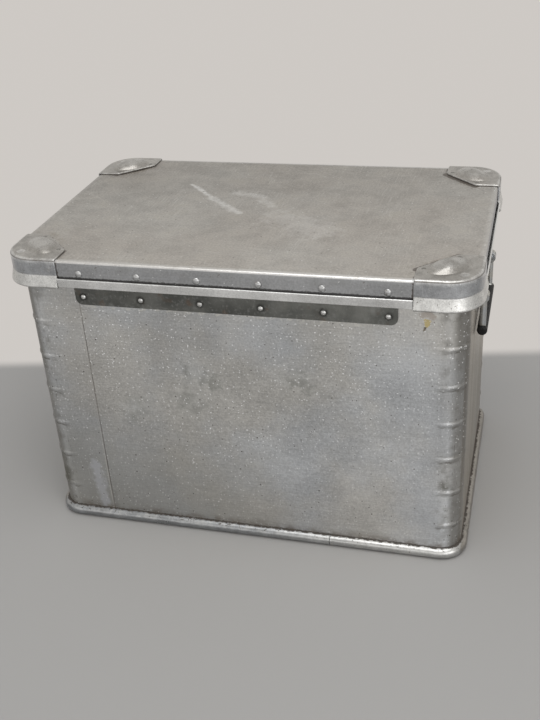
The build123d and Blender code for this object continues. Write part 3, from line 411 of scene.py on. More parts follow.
class WallFinish(Finish):
    """Dull rolled wall sheet: clouded grain, paint specks, smudges, painted light and shade across the sheet,
    at the bends and at the beads, and dirt at beads, seam and foot, with painted shade at the foot.
    """

    def __init__(self):
        super().__init__("rolled wall sheet", 0.9, 0.42, (0.46, 0.46, 0.46))
        self.flat = self.node("ShaderNodeUVMap", {"uv_map": WALL_MAP}).outputs[0]
        self.bend, self.outside = self.attribute("bend"), self.attribute("outside")
        self.broad, self.cloud = self.noise(4.5, 4.0), self.noise(19.0, 6.0)
        self.grain = self.noise(380.0, 3.0)
        self.broken = self.ramp(self.noise(44.0, 5.0), 0.36, 0.6, 0.4, 1.0)
        self.wander = self.swing(self.noise(110.0, 5.0), EDGE_WANDER)
        self.end = self.product(self.ramp(self.size_of(self.x), 0.2845, 0.2868), self.outside)
        self.rear = self.ramp(self.y, 0.15, 0.16)

    def drawn(self, across, up, detail, shift=(0, 0, 0)):
        """Noise on the wall's own map, drawn out in one direction."""
        return self.noise(1.0, detail, self.scaled(self.flat, (across, up, 1.0), shift))

    def rear_strokes(self, strokes):
        """Mask of strokes on the rear wall."""
        return self.most(*(self.stroke((a, HALF_WIDTH, b), (c, HALF_WIDTH, d), *edge)
                           for (a, b), (c, d), *edge in strokes))

    def sheet(self):
        """Rolled grain between a cool and a warm grey, with painted light towards the -X end and painted
        shade low down.
        """
        light = self.total(0.575, self.swing(self.broad, 0.03), self.swing(self.cloud, 0.045),
                           self.swing(self.grain, 0.05), self.swing(self.drawn(22.0, 520.0, 3.0), 0.03))
        # painted light and shade: lighter towards the -X end, darker low down
        shade = self.product(self.ramp(self.x, -0.26, 0.02, 1.12, 1.0),
                             self.ramp(self.z, 0.02, 0.16, 0.92, 1.0))
        self.colour = self.grey(self.product(light, shade))
        hue = self.ramp(self.noise(7.0, 4.0, shift=(4, 2, 7)), 0.35, 0.65)
        self.shade(self.tint(hue, (0.975, 1.0, 1.03), (1.02, 1.0, 0.955)))

    def end_walls(self):
        """Duller and warmer, streaked downwards, with brown dirt towards the bends; returns the streaks."""
        streak = self.ramp(self.drawn(75.0, 5.0, 4.0), 0.42, 0.66)
        runs = self.ramp(self.drawn(17.0, 2.0, 3.0, (3.3, 0.4, 0)), 0.40, 0.60)
        beside_bend = self.ramp(self.size_of(self.y), 0.128, 0.168)
        self.coat((0.34, 0.305, 0.25), self.end, 0.75)
        dirt = self.ramp(self.drawn(55.0, 9.0, 5.0), 0.38, 0.60)
        self.coat((0.15, 0.12, 0.09), self.end,
                  self.most(self.product(streak, 0.22), self.product(runs, 0.30)))
        self.coat((0.14, 0.10, 0.065), self.end, beside_bend, dirt, 0.7)
        return self.product(self.end, streak, 0.25)

    def shade_and_smudges(self):
        """Painted shade towards the foot and the +X end, smudges and a rubbed patch; returns the smudges."""
        # painted shade: darker and browner towards the foot and the +X end
        lean = self.total(self.product(self.x, 0.55), self.product(self.z, -0.8),
                          self.swing(self.broad, 0.05))
        self.coat((0.285, 0.275, 0.245), self.ramp(lean, -0.14, 0.12, 0.0, 0.62))
        spots = [self.near((x, HALF_WIDTH, z), *edge) for (x, z), *edge in SMUDGE_SPOTS]
        smudge = self.most(self.rear_strokes(SMUDGE_STROKES), *spots)
        self.coat((0.18, 0.18, 0.16), smudge, self.broken, self.outside, 0.62)
        self.coat((0.66, 0.68, 0.74), self.rear_strokes(RUBBED_PATCH), self.outside, 0.42)
        return self.product(smudge, self.outside, 0.4)

    def bends(self):
        """Painted highlight along the folds, painted shade past them and at the -X corner."""
        fold = self.most(self.within(self.size_of(self.x), 0.2620, 0.2715, 0.0035),
                         self.within(self.size_of(self.y), 0.1570, 0.1665, 0.0035))
        # painted highlight where each bend starts to turn
        self.coat(SHEET_SHEEN, fold, self.bend, self.ramp(self.broad, 0.3, 0.6, 0.25, 1.0), 0.22)
        # painted shade further round the bends
        self.coat((0.25, 0.24, 0.22), self.ramp(self.size_of(self.x), 0.268, 0.279), self.bend, self.outside,
                  self.ramp(self.cloud, 0.3, 0.6, 0.45, 0.8))
        # painted shade high on the bends at the -X end
        self.coat((0.25, 0.245, 0.235), self.bend, self.outside, self.fall(self.x, -0.262, -0.240),
                  self.ramp(self.z, 0.10, 0.26), 0.30)

    def beads(self):
        """Beads with a painted highlight along the crest and painted shade with some dirt along both sides,
        by millimetres from the crest.
        """
        height = self.calc("DIVIDE", self.less(self.z, BEAD_FIRST_Z * MM), BEAD_PITCH * MM)
        nearest = self.calc("MAXIMUM", self.calc("ROUND", height), 0.0)
        nearest = self.calc("MINIMUM", nearest, BEAD_COUNT - 1.0)
        offset = self.total(self.product(self.less(height, nearest), BEAD_PITCH), self.wander)
        broken = self.ramp(self.noise(85.0, 5.0, shift=(3, 3, 0)), 0.36, 0.6)
        below = self.product(self.within(offset, -5.6, -3.6, 1.0), self.bend, broken)
        above = self.product(self.within(offset, 3.4, 4.8, 0.9), self.bend, broken, 0.6)
        # painted shade with some dirt beside each bead
        self.coat((0.15, 0.14, 0.12), self.most(below, above), 0.74)
        # painted highlight along each bead's crest
        self.coat(SHEET_SHEEN, self.within(offset, -0.4, 1.7, 0.8), self.bend,
                  self.ramp(self.cloud, 0.35, 0.55, 0.25, 1.0), 0.12)

    def corners(self):
        """Dirt and upright scuffs in the bent corners, and a few dark spots."""
        blots = self.ramp(self.noise(55.0, 6.0), 0.48, 0.66)
        scuffs = self.ramp(self.drawn(420.0, 60.0, 4.0), 0.60, 0.70)
        spots = self.most(*(self.near(*spot) for spot in CORNER_SPOTS))
        self.coat((0.23, 0.22, 0.20), self.bend, self.outside, blots, 0.42)
        self.coat((0.16, 0.15, 0.135), self.bend, self.outside, scuffs, 0.6)
        self.coat((0.13, 0.125, 0.095), spots, self.broken, 0.7)

    def seam(self):
        """Dark line at the seam with a lit edge beside it."""
        past = self.less(self.x, SEAM_X * MM)
        self.coat((0.14, 0.115, 0.095), self.ramp(self.size_of(past), 0.0004, 0.0010, 0.55, 0.0), self.rear,
                  self.outside, self.ramp(self.cloud, 0.3, 0.6, 0.45, 1.0))
        self.coat((0.74, 0.72, 0.66), self.within(past, 0.0016, 0.0026, 0.0005), self.rear,
                  self.ramp(self.cloud, 0.4, 0.6, 0.1, 0.5))

    def foot(self):
        """Dark line of painted shade and dirt over the foot rail, with a brown haze of dirt above it; returns
        the line.
        """
        line = self.fall(self.total(self.z, self.swing(self.noise(230.0, 5.0), 0.0006)), 0.0164, 0.0174)
        # painted shade with dirt in the joint over the rail
        self.coat((0.035, 0.027, 0.02), line, 0.92)
        self.coat((0.17, 0.13, 0.095), self.outside, self.fall(self.z, 0.017, 0.030),
                  self.ramp(self.noise(60.0, 5.0), 0.35, 0.65), 0.5)
        return line

    def stain(self):
        """Drip under a casting; returns its mask."""
        drips = []
        for colour, strength, strokes in STAIN:
            drips.append(self.product(self.rear_strokes(strokes), self.outside))
            self.coat(colour, drips[-1], strength)
        return self.most(*drips)

    def residue(self):
        """Pale residue under the hinge leaf, and the top of the bends made darker under the castings."""
        edge = self.total(self.z, self.ramp(self.wander, -EDGE_WANDER, EDGE_WANDER, -0.002, 0.002))
        under_leaf = self.within(edge, (HINGE_LOW.z - 3.5) * MM, HINGE_LOW.z * MM, 0.0008)
        self.coat((0.80, 0.78, 0.72), self.within(self.x, -0.168, 0.202, 0.004), under_leaf, self.rear,
                  self.outside, self.ramp(self.noise(150.0, 5.0), 0.42, 0.62), 0.55)
        # darker at the top of the bends, under the castings
        self.coat((0.17, 0.16, 0.14), self.outside, self.ramp(self.z, 0.345, 0.372), self.bend,
                  self.ramp(self.noise(85.0, 6.0), 0.45, 0.62), 0.55)

    def specked(self):
        """Fine scratches, pits, and paint specks that thin out towards the foot; returns specks and pits."""
        lines = self.most(self.scratches((0, 0, 20), (900, 900, 20)),
                          self.scratches((0, 35, 0), (14, 14, 700), 0.67))
        self.coat((0.74, 0.74, 0.74), lines, 0.3)
        paint = self.most(*(self.specks(*kind, self.flat) for kind in PAINT_SPECKS))
        paint = self.product(paint, self.ramp(self.z, 0.06, 0.26, 0.45, 1.0),
                             self.spread(self.broad, 0.6, 1.0))
        pits = self.most(*(self.specks(*kind, self.flat) for kind in PITS))
        self.coat((0.09, 0.08, 0.07), pits, 0.8)
        self.coat((0.88, 0.88, 0.87), paint, 0.85)
        return paint, pits

    def build(self):
        self.sheet()
        streaks = self.end_walls()
        smudges = self.shade_and_smudges()
        self.bends()
        self.beads()
        self.corners()
        self.seam()
        foot = self.foot()
        stain = self.stain()
        self.residue()
        paint, pits = self.specked()
        dull = self.most(paint, foot, stain, smudges, streaks)
        rough = self.total(self.spread(self.broad, 0.37, 0.47), self.spread(self.grain, -0.04, 0.06),
                           self.product(self.bend, 0.08))
        normal = self.bump(self.broad, 0.75, self.bump(self.cloud, 0.25, self.bump(self.grain, 0.06)))
        normal = self.bump(self.most(paint, self.product(pits, -1.0)), 0.12, normal)
        return self.finish(self.level(dull, rough, 0.7), self.level(dull, 0.9, 0.15), normal)


class LidFinish(Finish):
    """Lid sheet: warm, cross-scratched top, cooler flange and a bright edge between them, worn and with a
    painted highlight.
    """

    def __init__(self):
        super().__init__("lid sheet", 0.9, 0.42, (0.5, 0.49, 0.46))
        self.edge, self.top, self.outside = (self.attribute(name) for name in ("edge", "top", "outside"))
        self.side = self.less(1.0, self.top)
        self.face = self.node("ShaderNodeCombineXYZ", X=self.total(self.x, self.z),
                              Y=self.less(self.y, self.z)).outputs[0]
        self.broad, self.grain = self.noise(6.0, 5.0), self.noise(380.0, 3.0)
        self.mottle = self.noise(30.0, 6.0, rough=0.62, shift=(2, 5, 1))

    def sheet(self):
        """Warm mottled top with painted light towards the rear and -X, and a cool streaked flange."""
        # painted light: the top lighter towards the rear and -X
        reach = self.total(self.product(self.y, 0.9), self.product(self.x, -0.25))
        light = self.total(1.0, self.swing(self.broad, 0.08), self.swing(self.mottle, 0.11),
                           self.swing(self.grain, 0.12), self.ramp(reach, -0.2, 0.2, -0.13, 0.13))
        warm = self.tint(self.ramp(self.broad, 0.35, 0.65), (0.49, 0.462, 0.428), (0.465, 0.45, 0.425))
        warm = self.tint(self.ramp(self.mottle, 0.5, 0.72, 0.0, 0.5), warm, (0.41, 0.39, 0.35))
        self.colour = self.tint(self.top, (0.385, 0.388, 0.395), warm)
        self.shade(self.grey(light))
        streaks = self.noise(1.0, 4.0, self.stretched((9.0, 9.0, 260.0)))
        self.coat((0.50, 0.51, 0.53), self.side, self.ramp(streaks, 0.5, 0.72), 0.4)
        self.coat((0.27, 0.27, 0.265), self.side, self.ramp(self.mottle, 0.5, 0.7), 0.45)

    def scratched(self):
        """Pale fine and long scratches over the top and some dark ones; returns the pale ones."""
        fine = self.most(self.scratches((0, 0, 3), (22, 1100, 22), 0.56),
                         self.scratches((0, 0, 92), (24, 1000, 24), 0.56))
        long = self.most(self.scratches((0, 0, 38), (9, 800, 9), 0.64),
                         self.scratches((0, 0, -27), (8, 700, 8), 0.66))
        self.coat((0.74, 0.73, 0.70), self.top, self.most(self.product(fine, 0.38), self.product(long, 0.5)))
        self.coat((0.25, 0.235, 0.21), self.top, self.scratches((0, 0, -58), (10, 760, 10), 0.66), 0.4)
        return self.most(fine, long)

    def chalk(self):
        """Chalk lines and a pale rubbed patch; returns their mask."""
        top = LID_HIGH.z
        lines = self.most(*(self.product(self.stroke((*start, top), (*end, top), *edge), strength)
                            for strength, start, end, *edge in CHALK))
        lines = self.product(lines, self.ramp(self.noise(150.0, 5.0), 0.25, 0.60, 0.35, 1.0))
        self.coat((0.84, 0.83, 0.80), lines, self.top, self.outside, 0.42)
        return self.product(lines, 0.8)

    def casting_dirt_and_shade(self):
        """Dark lines round the castings, painted shadow with dirt in it, in a brown halo of dirt, wider at
        the -X end; returns the lines.
        """
        far, deep, top = LID_HIGH
        one = (far - CASTING_WING, deep - CASTING_NOSE, top)
        two = (far - CASTING_NOSE, deep - CASTING_WING, top)
        wide = self.product(self.stroke(one, two, 5.4, 1.4, 2.0, self.folded), self.fall(self.x, -0.05, 0.05))
        lines = [wide, self.stroke(one, two, 1.6, 1.2, 2.2, self.folded)]
        for x, y, inner in ((far - CASTING_WING, deep, one), (far, deep - CASTING_WING, two)):
            for end in (inner, (x, y, LIP_TOP)):
                lines.append(self.stroke((x, y, top), end, 0.9, 1.0, 2.2, self.folded))
        lines = self.product(self.most(*lines), self.outside)
        self.coat((0.24, 0.20, 0.15), self.stroke(one, two, 1.0, 15.0, 14, self.folded), self.outside,
                  self.ramp(self.mottle, 0.4, 0.62), 0.4)
        # painted shadow with dirt at the plates' edges and ends
        self.coat((0.07, 0.052, 0.038), lines, 0.85)
        return lines

    def groove(self):
        """Painted shade in the groove over the lip, and dirt round the rivets of the flange; returns the
        groove.
        """
        edge = self.total(self.z, self.swing(self.noise(260.0, 4.0), 0.0005))
        groove = self.product(self.outside, self.fall(edge, 0.3922, 0.3931))
        # painted shade in the groove between flange and lip
        self.coat((0.03, 0.027, 0.023), groove, 0.9)
        rings = self.rings("lid_flange_rivets", 3.6, 6.0, 3.0)
        self.coat((0.12, 0.11, 0.10), rings, self.side, self.outside, 0.6)
        return groove

    def specked(self):
        """Dark spots and pale paint specks; returns the specks."""
        spots = self.most(self.specks(45.0, 0.06, 0.35, (0.2, 0.9, 0), self.face),
                          self.specks(120.0, 0.09, 0.15, (0.6, 0.3, 0), self.face))
        paint = self.specks(85.0, 0.08, 0.30, (0.4, 0.4, 0), self.face)
        self.coat((0.17, 0.15, 0.13), spots, 0.6)
        self.coat((0.86, 0.86, 0.84), paint, 0.6)
        return paint

    def edge_wear_and_sheen(self):
        """Bright edge between flange and top, wear with a painted highlight, weaker at the +X end; returns
        its mask.
        """
        worn = self.product(self.edge, self.outside, self.ramp(self.noise(70.0, 4.0), 0.22, 0.5, 0.25, 1.0),
                            self.ramp(self.size_of(self.y), 0.17, 0.186, 0.3, 1.0))
        # wear and a painted highlight on the rounded edge
        self.coat((0.88, 0.88, 0.87), worn, self.ramp(self.x, -0.2, 0.25, 0.8, 0.45))
        return worn

    def build(self):
        self.sheet()
        lines = self.scratched()
        chalk = self.chalk()
        dirt = self.casting_dirt_and_shade()
        groove = self.groove()
        paint = self.specked()
        worn = self.edge_wear_and_sheen()
        dull = self.most(paint, dirt, groove, chalk)
        rough = self.level(worn, self.spread(self.broad, 0.36, 0.48), 0.34)
        normal = self.bump(lines, 0.03, self.bump(self.grain, 0.06))
        normal = self.bump(self.mottle, 0.25, self.bump(self.broad, 0.8, normal))
        return self.finish(rough, self.level(dull, 0.9, 0.2), normal)


def cast_finish():
    """Satin casting: warm plate, cool wall, foot band lightened by painted sheen, painted highlights on the
    shoulder and crown, wear on its ridges, and painted shade with some dirt in its hollows and creases.
    """
    f = Finish("cast corner", 0.92, 0.32, (0.55, 0.55, 0.53))
    ridge = f.node("ShaderNodeNewGeometry").outputs["Pointiness"]
    worn = f.ramp(ridge, 0.53, 0.58)
    broad, mottle, grain = f.noise(14.0, 5.0), f.noise(70.0, 6.0), f.noise(600.0, 3.0)
    band = f.fall(f.total(f.z, f.swing(mottle, 0.0008)), 0.3932, 0.3952)
    f.colour = f.tint(f.ramp(f.z, 0.4120, 0.4160), (0.465, 0.475, 0.49), (0.408, 0.392, 0.367))
    # painted sheen: the foot band made much lighter than the wall above it
    f.coat((0.69, 0.685, 0.665), band, 0.9)
    # painted highlight along the rounded top edge of the wall
    shoulder = f.product(f.ramp(f.z, 0.4085, 0.4125), f.less(1.0, f.ramp(f.z, 0.4162, 0.4166)))
    f.coat(CAST_WEAR_AND_SHEEN, shoulder, f.ramp(mottle, 0.3, 0.6, 0.5, 1.0), 0.55)
    f.shade(f.grey(f.total(1.0, f.swing(broad, 0.10), f.swing(mottle, 0.14), f.swing(grain, 0.12))))
    # painted highlight with wear on the bump's crown, and wear on sharp ridges
    crown = f.ramp(f.z, 0.4185, 0.4235)
    f.coat(CAST_WEAR_AND_SHEEN, f.most(worn, f.product(crown, f.ramp(mottle, 0.3, 0.6, 0.2, 0.8))), 0.42)
    lines = f.most(f.scratches((0, 0, 45), (20, 900, 20), 0.58), f.scratches((0, 0, -30), (16, 800, 16), 0.6))
    f.coat((0.80, 0.80, 0.79), lines, 0.35)

    # Blots of dirt, then painted shade with some dirt in the hollows, at the plate's rim, along the toe and
    # where the band begins
    blot = f.product(f.ramp(f.noise(48.0, 6.0, shift=(5, 1, 2)), 0.57, 0.70), f.less(1.0, band))
    f.coat((0.19, 0.165, 0.135), blot, 0.5)
    hollow = f.product(f.fall(ridge, 0.43, 0.48), f.ramp(f.noise(120.0, 5.0), 0.3, 0.5))
    rim = f.within(f.z, 0.4132, 0.4149, 0.0005)
    toe = f.fall(f.total(f.z, f.swing(mottle, 0.0006)), 0.3776, 0.3790)
    fold = f.product(f.within(f.z, 0.3942, 0.3953, 0.0004), f.ramp(mottle, 0.35, 0.55))
    dirt = f.most(hollow, f.product(rim, 0.85), toe, f.product(fold, 0.5))
    f.coat((0.09, 0.072, 0.055), dirt, 0.8)
    pits = f.ramp(f.noise(330.0, 3.0, shift=(1, 5, 2)), 0.64, 0.70)
    f.coat((0.16, 0.14, 0.12), pits, 0.65)

    rough = f.level(f.most(worn, crown), f.spread(broad, 0.28, 0.38), 0.24)
    rough = f.level(dirt, f.level(band, rough, 0.46), 0.7)
    normal = f.bump(f.product(pits, -1.0), 0.15, f.bump(grain, 0.07))
    normal = f.bump(mottle, 0.35, f.bump(broad, 0.7, normal))
    return f.finish(rough, f.level(f.most(dirt, blot), 0.92, 0.3), normal)


def profile_finish():
    """Bright extruded profile: dinged foot rail with painted shade and light, dirt and painted shade in its
    groove, a painted shadow under it, and the lid's worn lip.
    """
    f = Finish("bright profile", 0.95, 0.33, (0.8, 0.8, 0.79))
    broad, knock, grain = f.noise(18.0, 5.0), f.noise(95.0, 5.0), f.noise(480.0, 3.0)
    low = f.fall(f.z, 0.03, 0.04)
    # painted shade and light: the rail darker than the lip, and lighter towards -X
    rail = f.tint(f.ramp(f.x, -0.20, 0.02), (0.52, 0.52, 0.51), (0.33, 0.34, 0.35))
    f.colour = f.tint(low, (0.84, 0.84, 0.83), rail)
    ends = f.ramp(f.size_of(f.x), 0.288, 0.2915)
    f.coat((0.33, 0.305, 0.27), low, ends, 0.8)
    uneven = f.level(low, f.swing(knock, 0.05), f.swing(knock, 0.12))
    f.shade(f.grey(f.total(1.0, f.swing(broad, 0.08), uneven, f.swing(grain, 0.08))))
    # painted sheen in patches on the rail's upper half
    upper_sheen = f.product(low, f.ramp(f.z, 0.0085, 0.0125),
                     f.ramp(f.noise(150.0, 5.0, shift=(2, 2, 2)), 0.44, 0.62))
    f.coat((0.66, 0.65, 0.63), upper_sheen, f.less(1.0, ends), 0.3)

    # Dirt and painted shade in the rail's upper groove, a painted contact shadow under it, rust spots on the
    # rail, and small dark marks
    groove = f.ramp(f.total(f.z, f.swing(f.noise(210.0, 5.0), 0.0004)), 0.01535, 0.01590)
    rust = f.product(f.ramp(f.noise(240.0, 4.0, shift=(7, 2, 3)), 0.60, 0.66), low,
                     f.ramp(f.z, 0.010, 0.0145))
    marks = f.product(f.ramp(f.noise(300.0, 4.0, shift=(1, 9, 3)), 0.66, 0.71), f.level(low, 0.35, 1.0))
    dirt = f.most(f.product(groove, low, 0.93), f.product(f.fall(f.z, 0.0010, 0.0040), 0.7),
                  f.product(rust, 0.75), f.product(marks, 0.6))
    f.coat((0.05, 0.038, 0.028), dirt)
    rough = f.total(f.spread(broad, 0.27, 0.38), f.product(dirt, 0.35))
    normal = f.bump(f.product(knock, low), 0.35, f.bump(grain, 0.04))
    return f.finish(rough, f.level(dirt, 0.95, 0.2), normal)


def hinge_finish():
    """Dull dark zinc plate with lighter rubbed places, a little rust, painted light towards -X and painted
    shadow round the rivets.
    """
    f = Finish("dark zinc plate", 0.85, 0.45, (0.16, 0.16, 0.155))
    broad, fine = f.noise(22.0, 5.0), f.noise(260.0, 4.0)
    f.colour = f.tint(f.ramp(broad, 0.35, 0.65), (0.109, 0.111, 0.103), (0.186, 0.187, 0.174))
    # painted light: the leaf lighter towards -X
    f.shade(f.grey(f.ramp(f.x, -0.16, 0.02, 1.42, 1.0)))
    # painted shadow round the rivets
    f.coat((0.03, 0.03, 0.027), f.rings("hinge_leaf_rivets", 3.4, 8.0, 6.0), 0.7)
    f.coat((0.30, 0.30, 0.29), f.ramp(fine, 0.5, 0.75, 0.0, 0.5))
    rust = f.product(f.ramp(f.noise(48.0, 5.0, shift=(9, 1, 4)), 0.58, 0.72), 0.5)
    f.coat((0.12, 0.065, 0.035), rust)
    f.coat((0.45, 0.45, 0.44), f.scratches((0, 0, 2), (30, 900, 30), 0.6), 0.3)
    normal = f.bump(broad, 0.3, f.bump(fine, 0.04))
    return f.finish(f.spread(fine, 0.36, 0.55), f.level(rust, 0.85, 0.2), normal)


def plate_finish(name, tone):
    """Zinc-plated steel with a faint mottled passivation and small rubbed marks."""
    f = Finish(name, 0.95, 0.32, (tone, tone, tone))
    broad, fine = f.noise(40.0, 5.0), f.noise(450.0, 3.0)
    cool, warm, dark = (tuple(tone * share for share in shares)
                        for shares in ((0.94, 0.98, 1.02), (1.04, 1.0, 0.9), (0.55, 0.55, 0.55)))
    f.colour = f.tint(f.ramp(broad, 0.35, 0.65), cool, warm)
    f.coat(dark, f.ramp(fine, 0.55, 0.75, 0.0, 0.35))
    f.coat((0.85, 0.85, 0.85), f.scratches((15, 0, 40), (40, 900, 40), 0.62), 0.4)
    return f.finish(f.spread(broad, 0.26, 0.40), None, f.bump(fine, 0.03))


def rivet_finish():
    """Upset aluminium heads: bright low down, duller on the lid's flange and dark on top of the lid."""
    f = Finish("rivet heads", 0.95, 0.28, (0.85, 0.85, 0.84))
    beaten = f.noise(420.0, 2.0)
    f.colour = f.tint(f.spread(beaten, 0.0, 1.0), (0.62, 0.62, 0.61), (0.76, 0.76, 0.75))
    f.coat((0.45, 0.455, 0.46), f.ramp(f.z, 0.380, 0.390), 0.75)
    f.coat((0.22, 0.21, 0.19), f.ramp(f.z, 0.410, 0.413), 0.8)
    f.coat((0.25, 0.23, 0.20), f.ramp(f.noise(230.0, 4.0), 0.56, 0.7), 0.6)
    return f.finish(f.spread(beaten, 0.30, 0.42), None, f.bump(beaten, 0.15))


def grip_finish():
    """Black moulded plastic with a fine moulded grain and dusty rub marks."""
    f = Finish("black plastic grip", 0.0, 0.45, (0.016, 0.016, 0.016))
    f.shader.inputs["Specular IOR Level"].default_value = 0.25
    grain = f.noise(900.0, 2.0)
    dust = f.product(f.ramp(f.noise(60.0, 5.0), 0.52, 0.75), 0.25)
    f.colour = f.tint(dust, (0.009, 0.009, 0.009), (0.05, 0.047, 0.043))
    return f.finish(f.spread(grain, 0.38, 0.55), None, f.bump(grain, 0.04))


def seal_finish():
    """Black cellular rubber."""
    f = Finish("cellular rubber", 0.0, 0.8, (0.03, 0.03, 0.03))
    broad = f.noise(35.0, 4.0)
    f.colour = f.tint(f.ramp(broad, 0.35, 0.7, 0.0, 0.5), (0.022, 0.022, 0.023), (0.06, 0.058, 0.055))
    cells = f.product(f.specks(700.0, 0.45, 0.5), -1.0)
    return f.finish(f.spread(broad, 0.72, 0.88), None, f.bump(cells, 0.12))


# Meshes

def stand(name, data):
    """Object of some data, linked to the scene at the origin."""
    made = bpy.data.objects.new(name, data)
    bpy.context.scene.collection.objects.link(made)
    return made


def smooth(data, sharp_above):
    """Smooth shading, with edges over an angle in degrees kept sharp."""
    data.shade_smooth()
    if sharp_above < 180.0:
        data.set_sharp_from_angle(angle=math.radians(sharp_above))


def piece(name, mesh, sharp_above=35.0):
    """Object at the origin from a mesh in progress, in millimetres."""
    bmesh.ops.remove_doubles(mesh, verts=mesh.verts, dist=0.001)
    bmesh.ops.recalc_face_normals(mesh, faces=mesh.faces)
    bmesh.ops.scale(mesh, vec=(MM, MM, MM), verts=mesh.verts)
    data = bpy.data.meshes.new(name)
    mesh.to_mesh(data)
    mesh.free()
    smooth(data, sharp_above)
    return stand(name, data)


def merged(node):
    """Mesh in progress of a node, in metres, with its loose triangles joined."""
    mesh = bmesh.new()
    mesh.from_mesh(frame["nodes"][node].data)
    bmesh.ops.remove_doubles(mesh, verts=mesh.verts, dist=1e-6)
    return mesh


def settle(made, sharp_above=None):
    """Carries out an object's modifiers, so that it is a plain mesh without them."""
    graph = bpy.context.evaluated_depsgraph_get()
    data = bpy.data.meshes.new_from_object(made.evaluated_get(graph))
    data.name = made.name
    made.modifiers.clear()
    made.data = data
    if sharp_above is not None:
        smooth(data, sharp_above)


def dress(made, body, material, slot, *nodes):
    """Gives a piece its finish and its body, and hides the nodes that it stands for."""
    made.data.materials.clear()
    made.data.materials.append(material)
    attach(made, body)
    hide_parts(*nodes)


def perimeter(corner_steps=18, run_step=22.0, rear_marks=(), near_bends=()):
    """Stations round the body's wall: point, outward direction and progress through a corner."""
    centres = [Vector(c) for c in ((CORNER_X, CORNER_Y), (-CORNER_X, CORNER_Y), (-CORNER_X, -CORNER_Y),
                                   (CORNER_X, -CORNER_Y))]
    stations = []
    for quarter, centre in enumerate(centres):
        for step in range(corner_steps + 1):
            turn = step / corner_steps
            angle = math.radians(90 * (quarter + turn))
            out = Vector((math.cos(angle), math.sin(angle)))
            stations.append((centre + CORNER_RADIUS * out, out, turn))
        start, out, _ = stations[-1]
        run = centres[(quarter + 1) % 4] - centre
        count = max(2, round(run.length / run_step))
        shares = [step / count for step in range(1, count)]
        ends = [distance / run.length for distance in near_bends]
        shares += ends + [1 - share for share in ends]
        if quarter == 0:
            marks = [(start.x - x) / run.length for x in rear_marks]
            near = MARK_CLEARANCE / run.length
            shares = [s for s in shares if all(abs(s - m) > near for m in marks)] + marks
        stations += [(start + share * run, out, None) for share in sorted(shares)]
    return stations


def straight_run(side, half, step=9.0):
    """Stations along one straight side of the lid, through the middle of a wall."""
    out = Vector((1, 0)) if side in (0, 2) else Vector((0, 1))
    out = -out if side in (2, 3) else out
    base = out * (HALF_LENGTH if side in (0, 2) else HALF_WIDTH)
    along = Vector((-out.y, out.x))
    count = round(2 * half / step)
    return [(base + along * half * (2 * i / count - 1), out, None) for i in range(count + 1)]


def joined(mesh, rows, count, closed=True):
    """Adds the faces between following rows of vertices; a closed row ends where it begins."""
    for row, after in zip(rows, rows[1:]):
        for j in range(count if closed else count - 1):
            k = (j + 1) % count
            mesh.faces.new((row[j], after[j], after[k], row[k]))


def carried(mesh, section, stations, loop=True, closed=True):
    """Adds a section of (reach, height) points carried along stations; returns its rows of vertices."""
    rows = [[mesh.verts.new((*(point + out * reach), height)) for reach, height in section]
            for point, out, _ in stations]
    joined(mesh, rows + rows[:1] if loop else rows, len(section), closed)
    if not loop:
        mesh.faces.new(rows[0])
        mesh.faces.new(rows[-1][::-1])
    return rows


def rounded(points, radii, steps=5):
    """Closed outline with its corners rounded; radii gives one radius for each point."""
    result = []
    for i, (point, radius) in enumerate(zip(points, radii)):
        corner, before, after = Vector(point), Vector(points[i - 1]), Vector(points[(i + 1) % len(points)])
        if not radius:
            result.append(tuple(corner))
            continue
        one, two = (before - corner).normalized(), (after - corner).normalized()
        half = one.angle(two) / 2
        tangent = radius / math.tan(half)
        centre = corner + (one + two).normalized() * radius / math.sin(half)
        start, end = corner + one * tangent - centre, corner + two * tangent - centre
        result += [tuple(centre + start.slerp(end, step / steps)) for step in range(steps + 1)]
    return result


def arc(centre, radius, start, end, steps):
    """Points of an arc of (reach, height), angles in degrees."""
    angles = [math.radians(start + (end - start) * i / steps) for i in range(steps + 1)]
    return [(centre[0] + radius * math.cos(a), centre[1] + radius * math.sin(a)) for a in angles]


def solidify(made, thickness):
    """Gives a sheet its thickness, inwards from the modelled face."""
    wall = made.modifiers.new("sheet", "SOLIDIFY")
    wall.thickness, wall.offset, wall.use_even_offset = thickness * MM, -1.0, True


def store(made, name, values):
    """Stores a number for each vertex."""
    made.data.attributes.new(name, "FLOAT", "POINT").data.foreach_set("value", values)


def paint(made, name, value_of):
    """Stores a number on each vertex, worked out from its place in millimetres."""
    store(made, name, [value_of(vertex.co / MM) for vertex in made.data.vertices])


def mark_outside(made):
    """Stores 1 on the sheet's outer face and 0 on its inner one."""

    def outwards(co, normal):
        return normal.z if abs(normal.z) > 0.5 else normal.x * co.x + normal.y * co.y

    store(made, "outside", [float(outwards(v.co, v.normal) > 0) for v in made.data.vertices])


def smooth_step(value, low, high):
    share = min(1.0, max(0.0, (value - low) / (high - low)))
    return share * share * (3 - 2 * share)


# Geometry Nodes

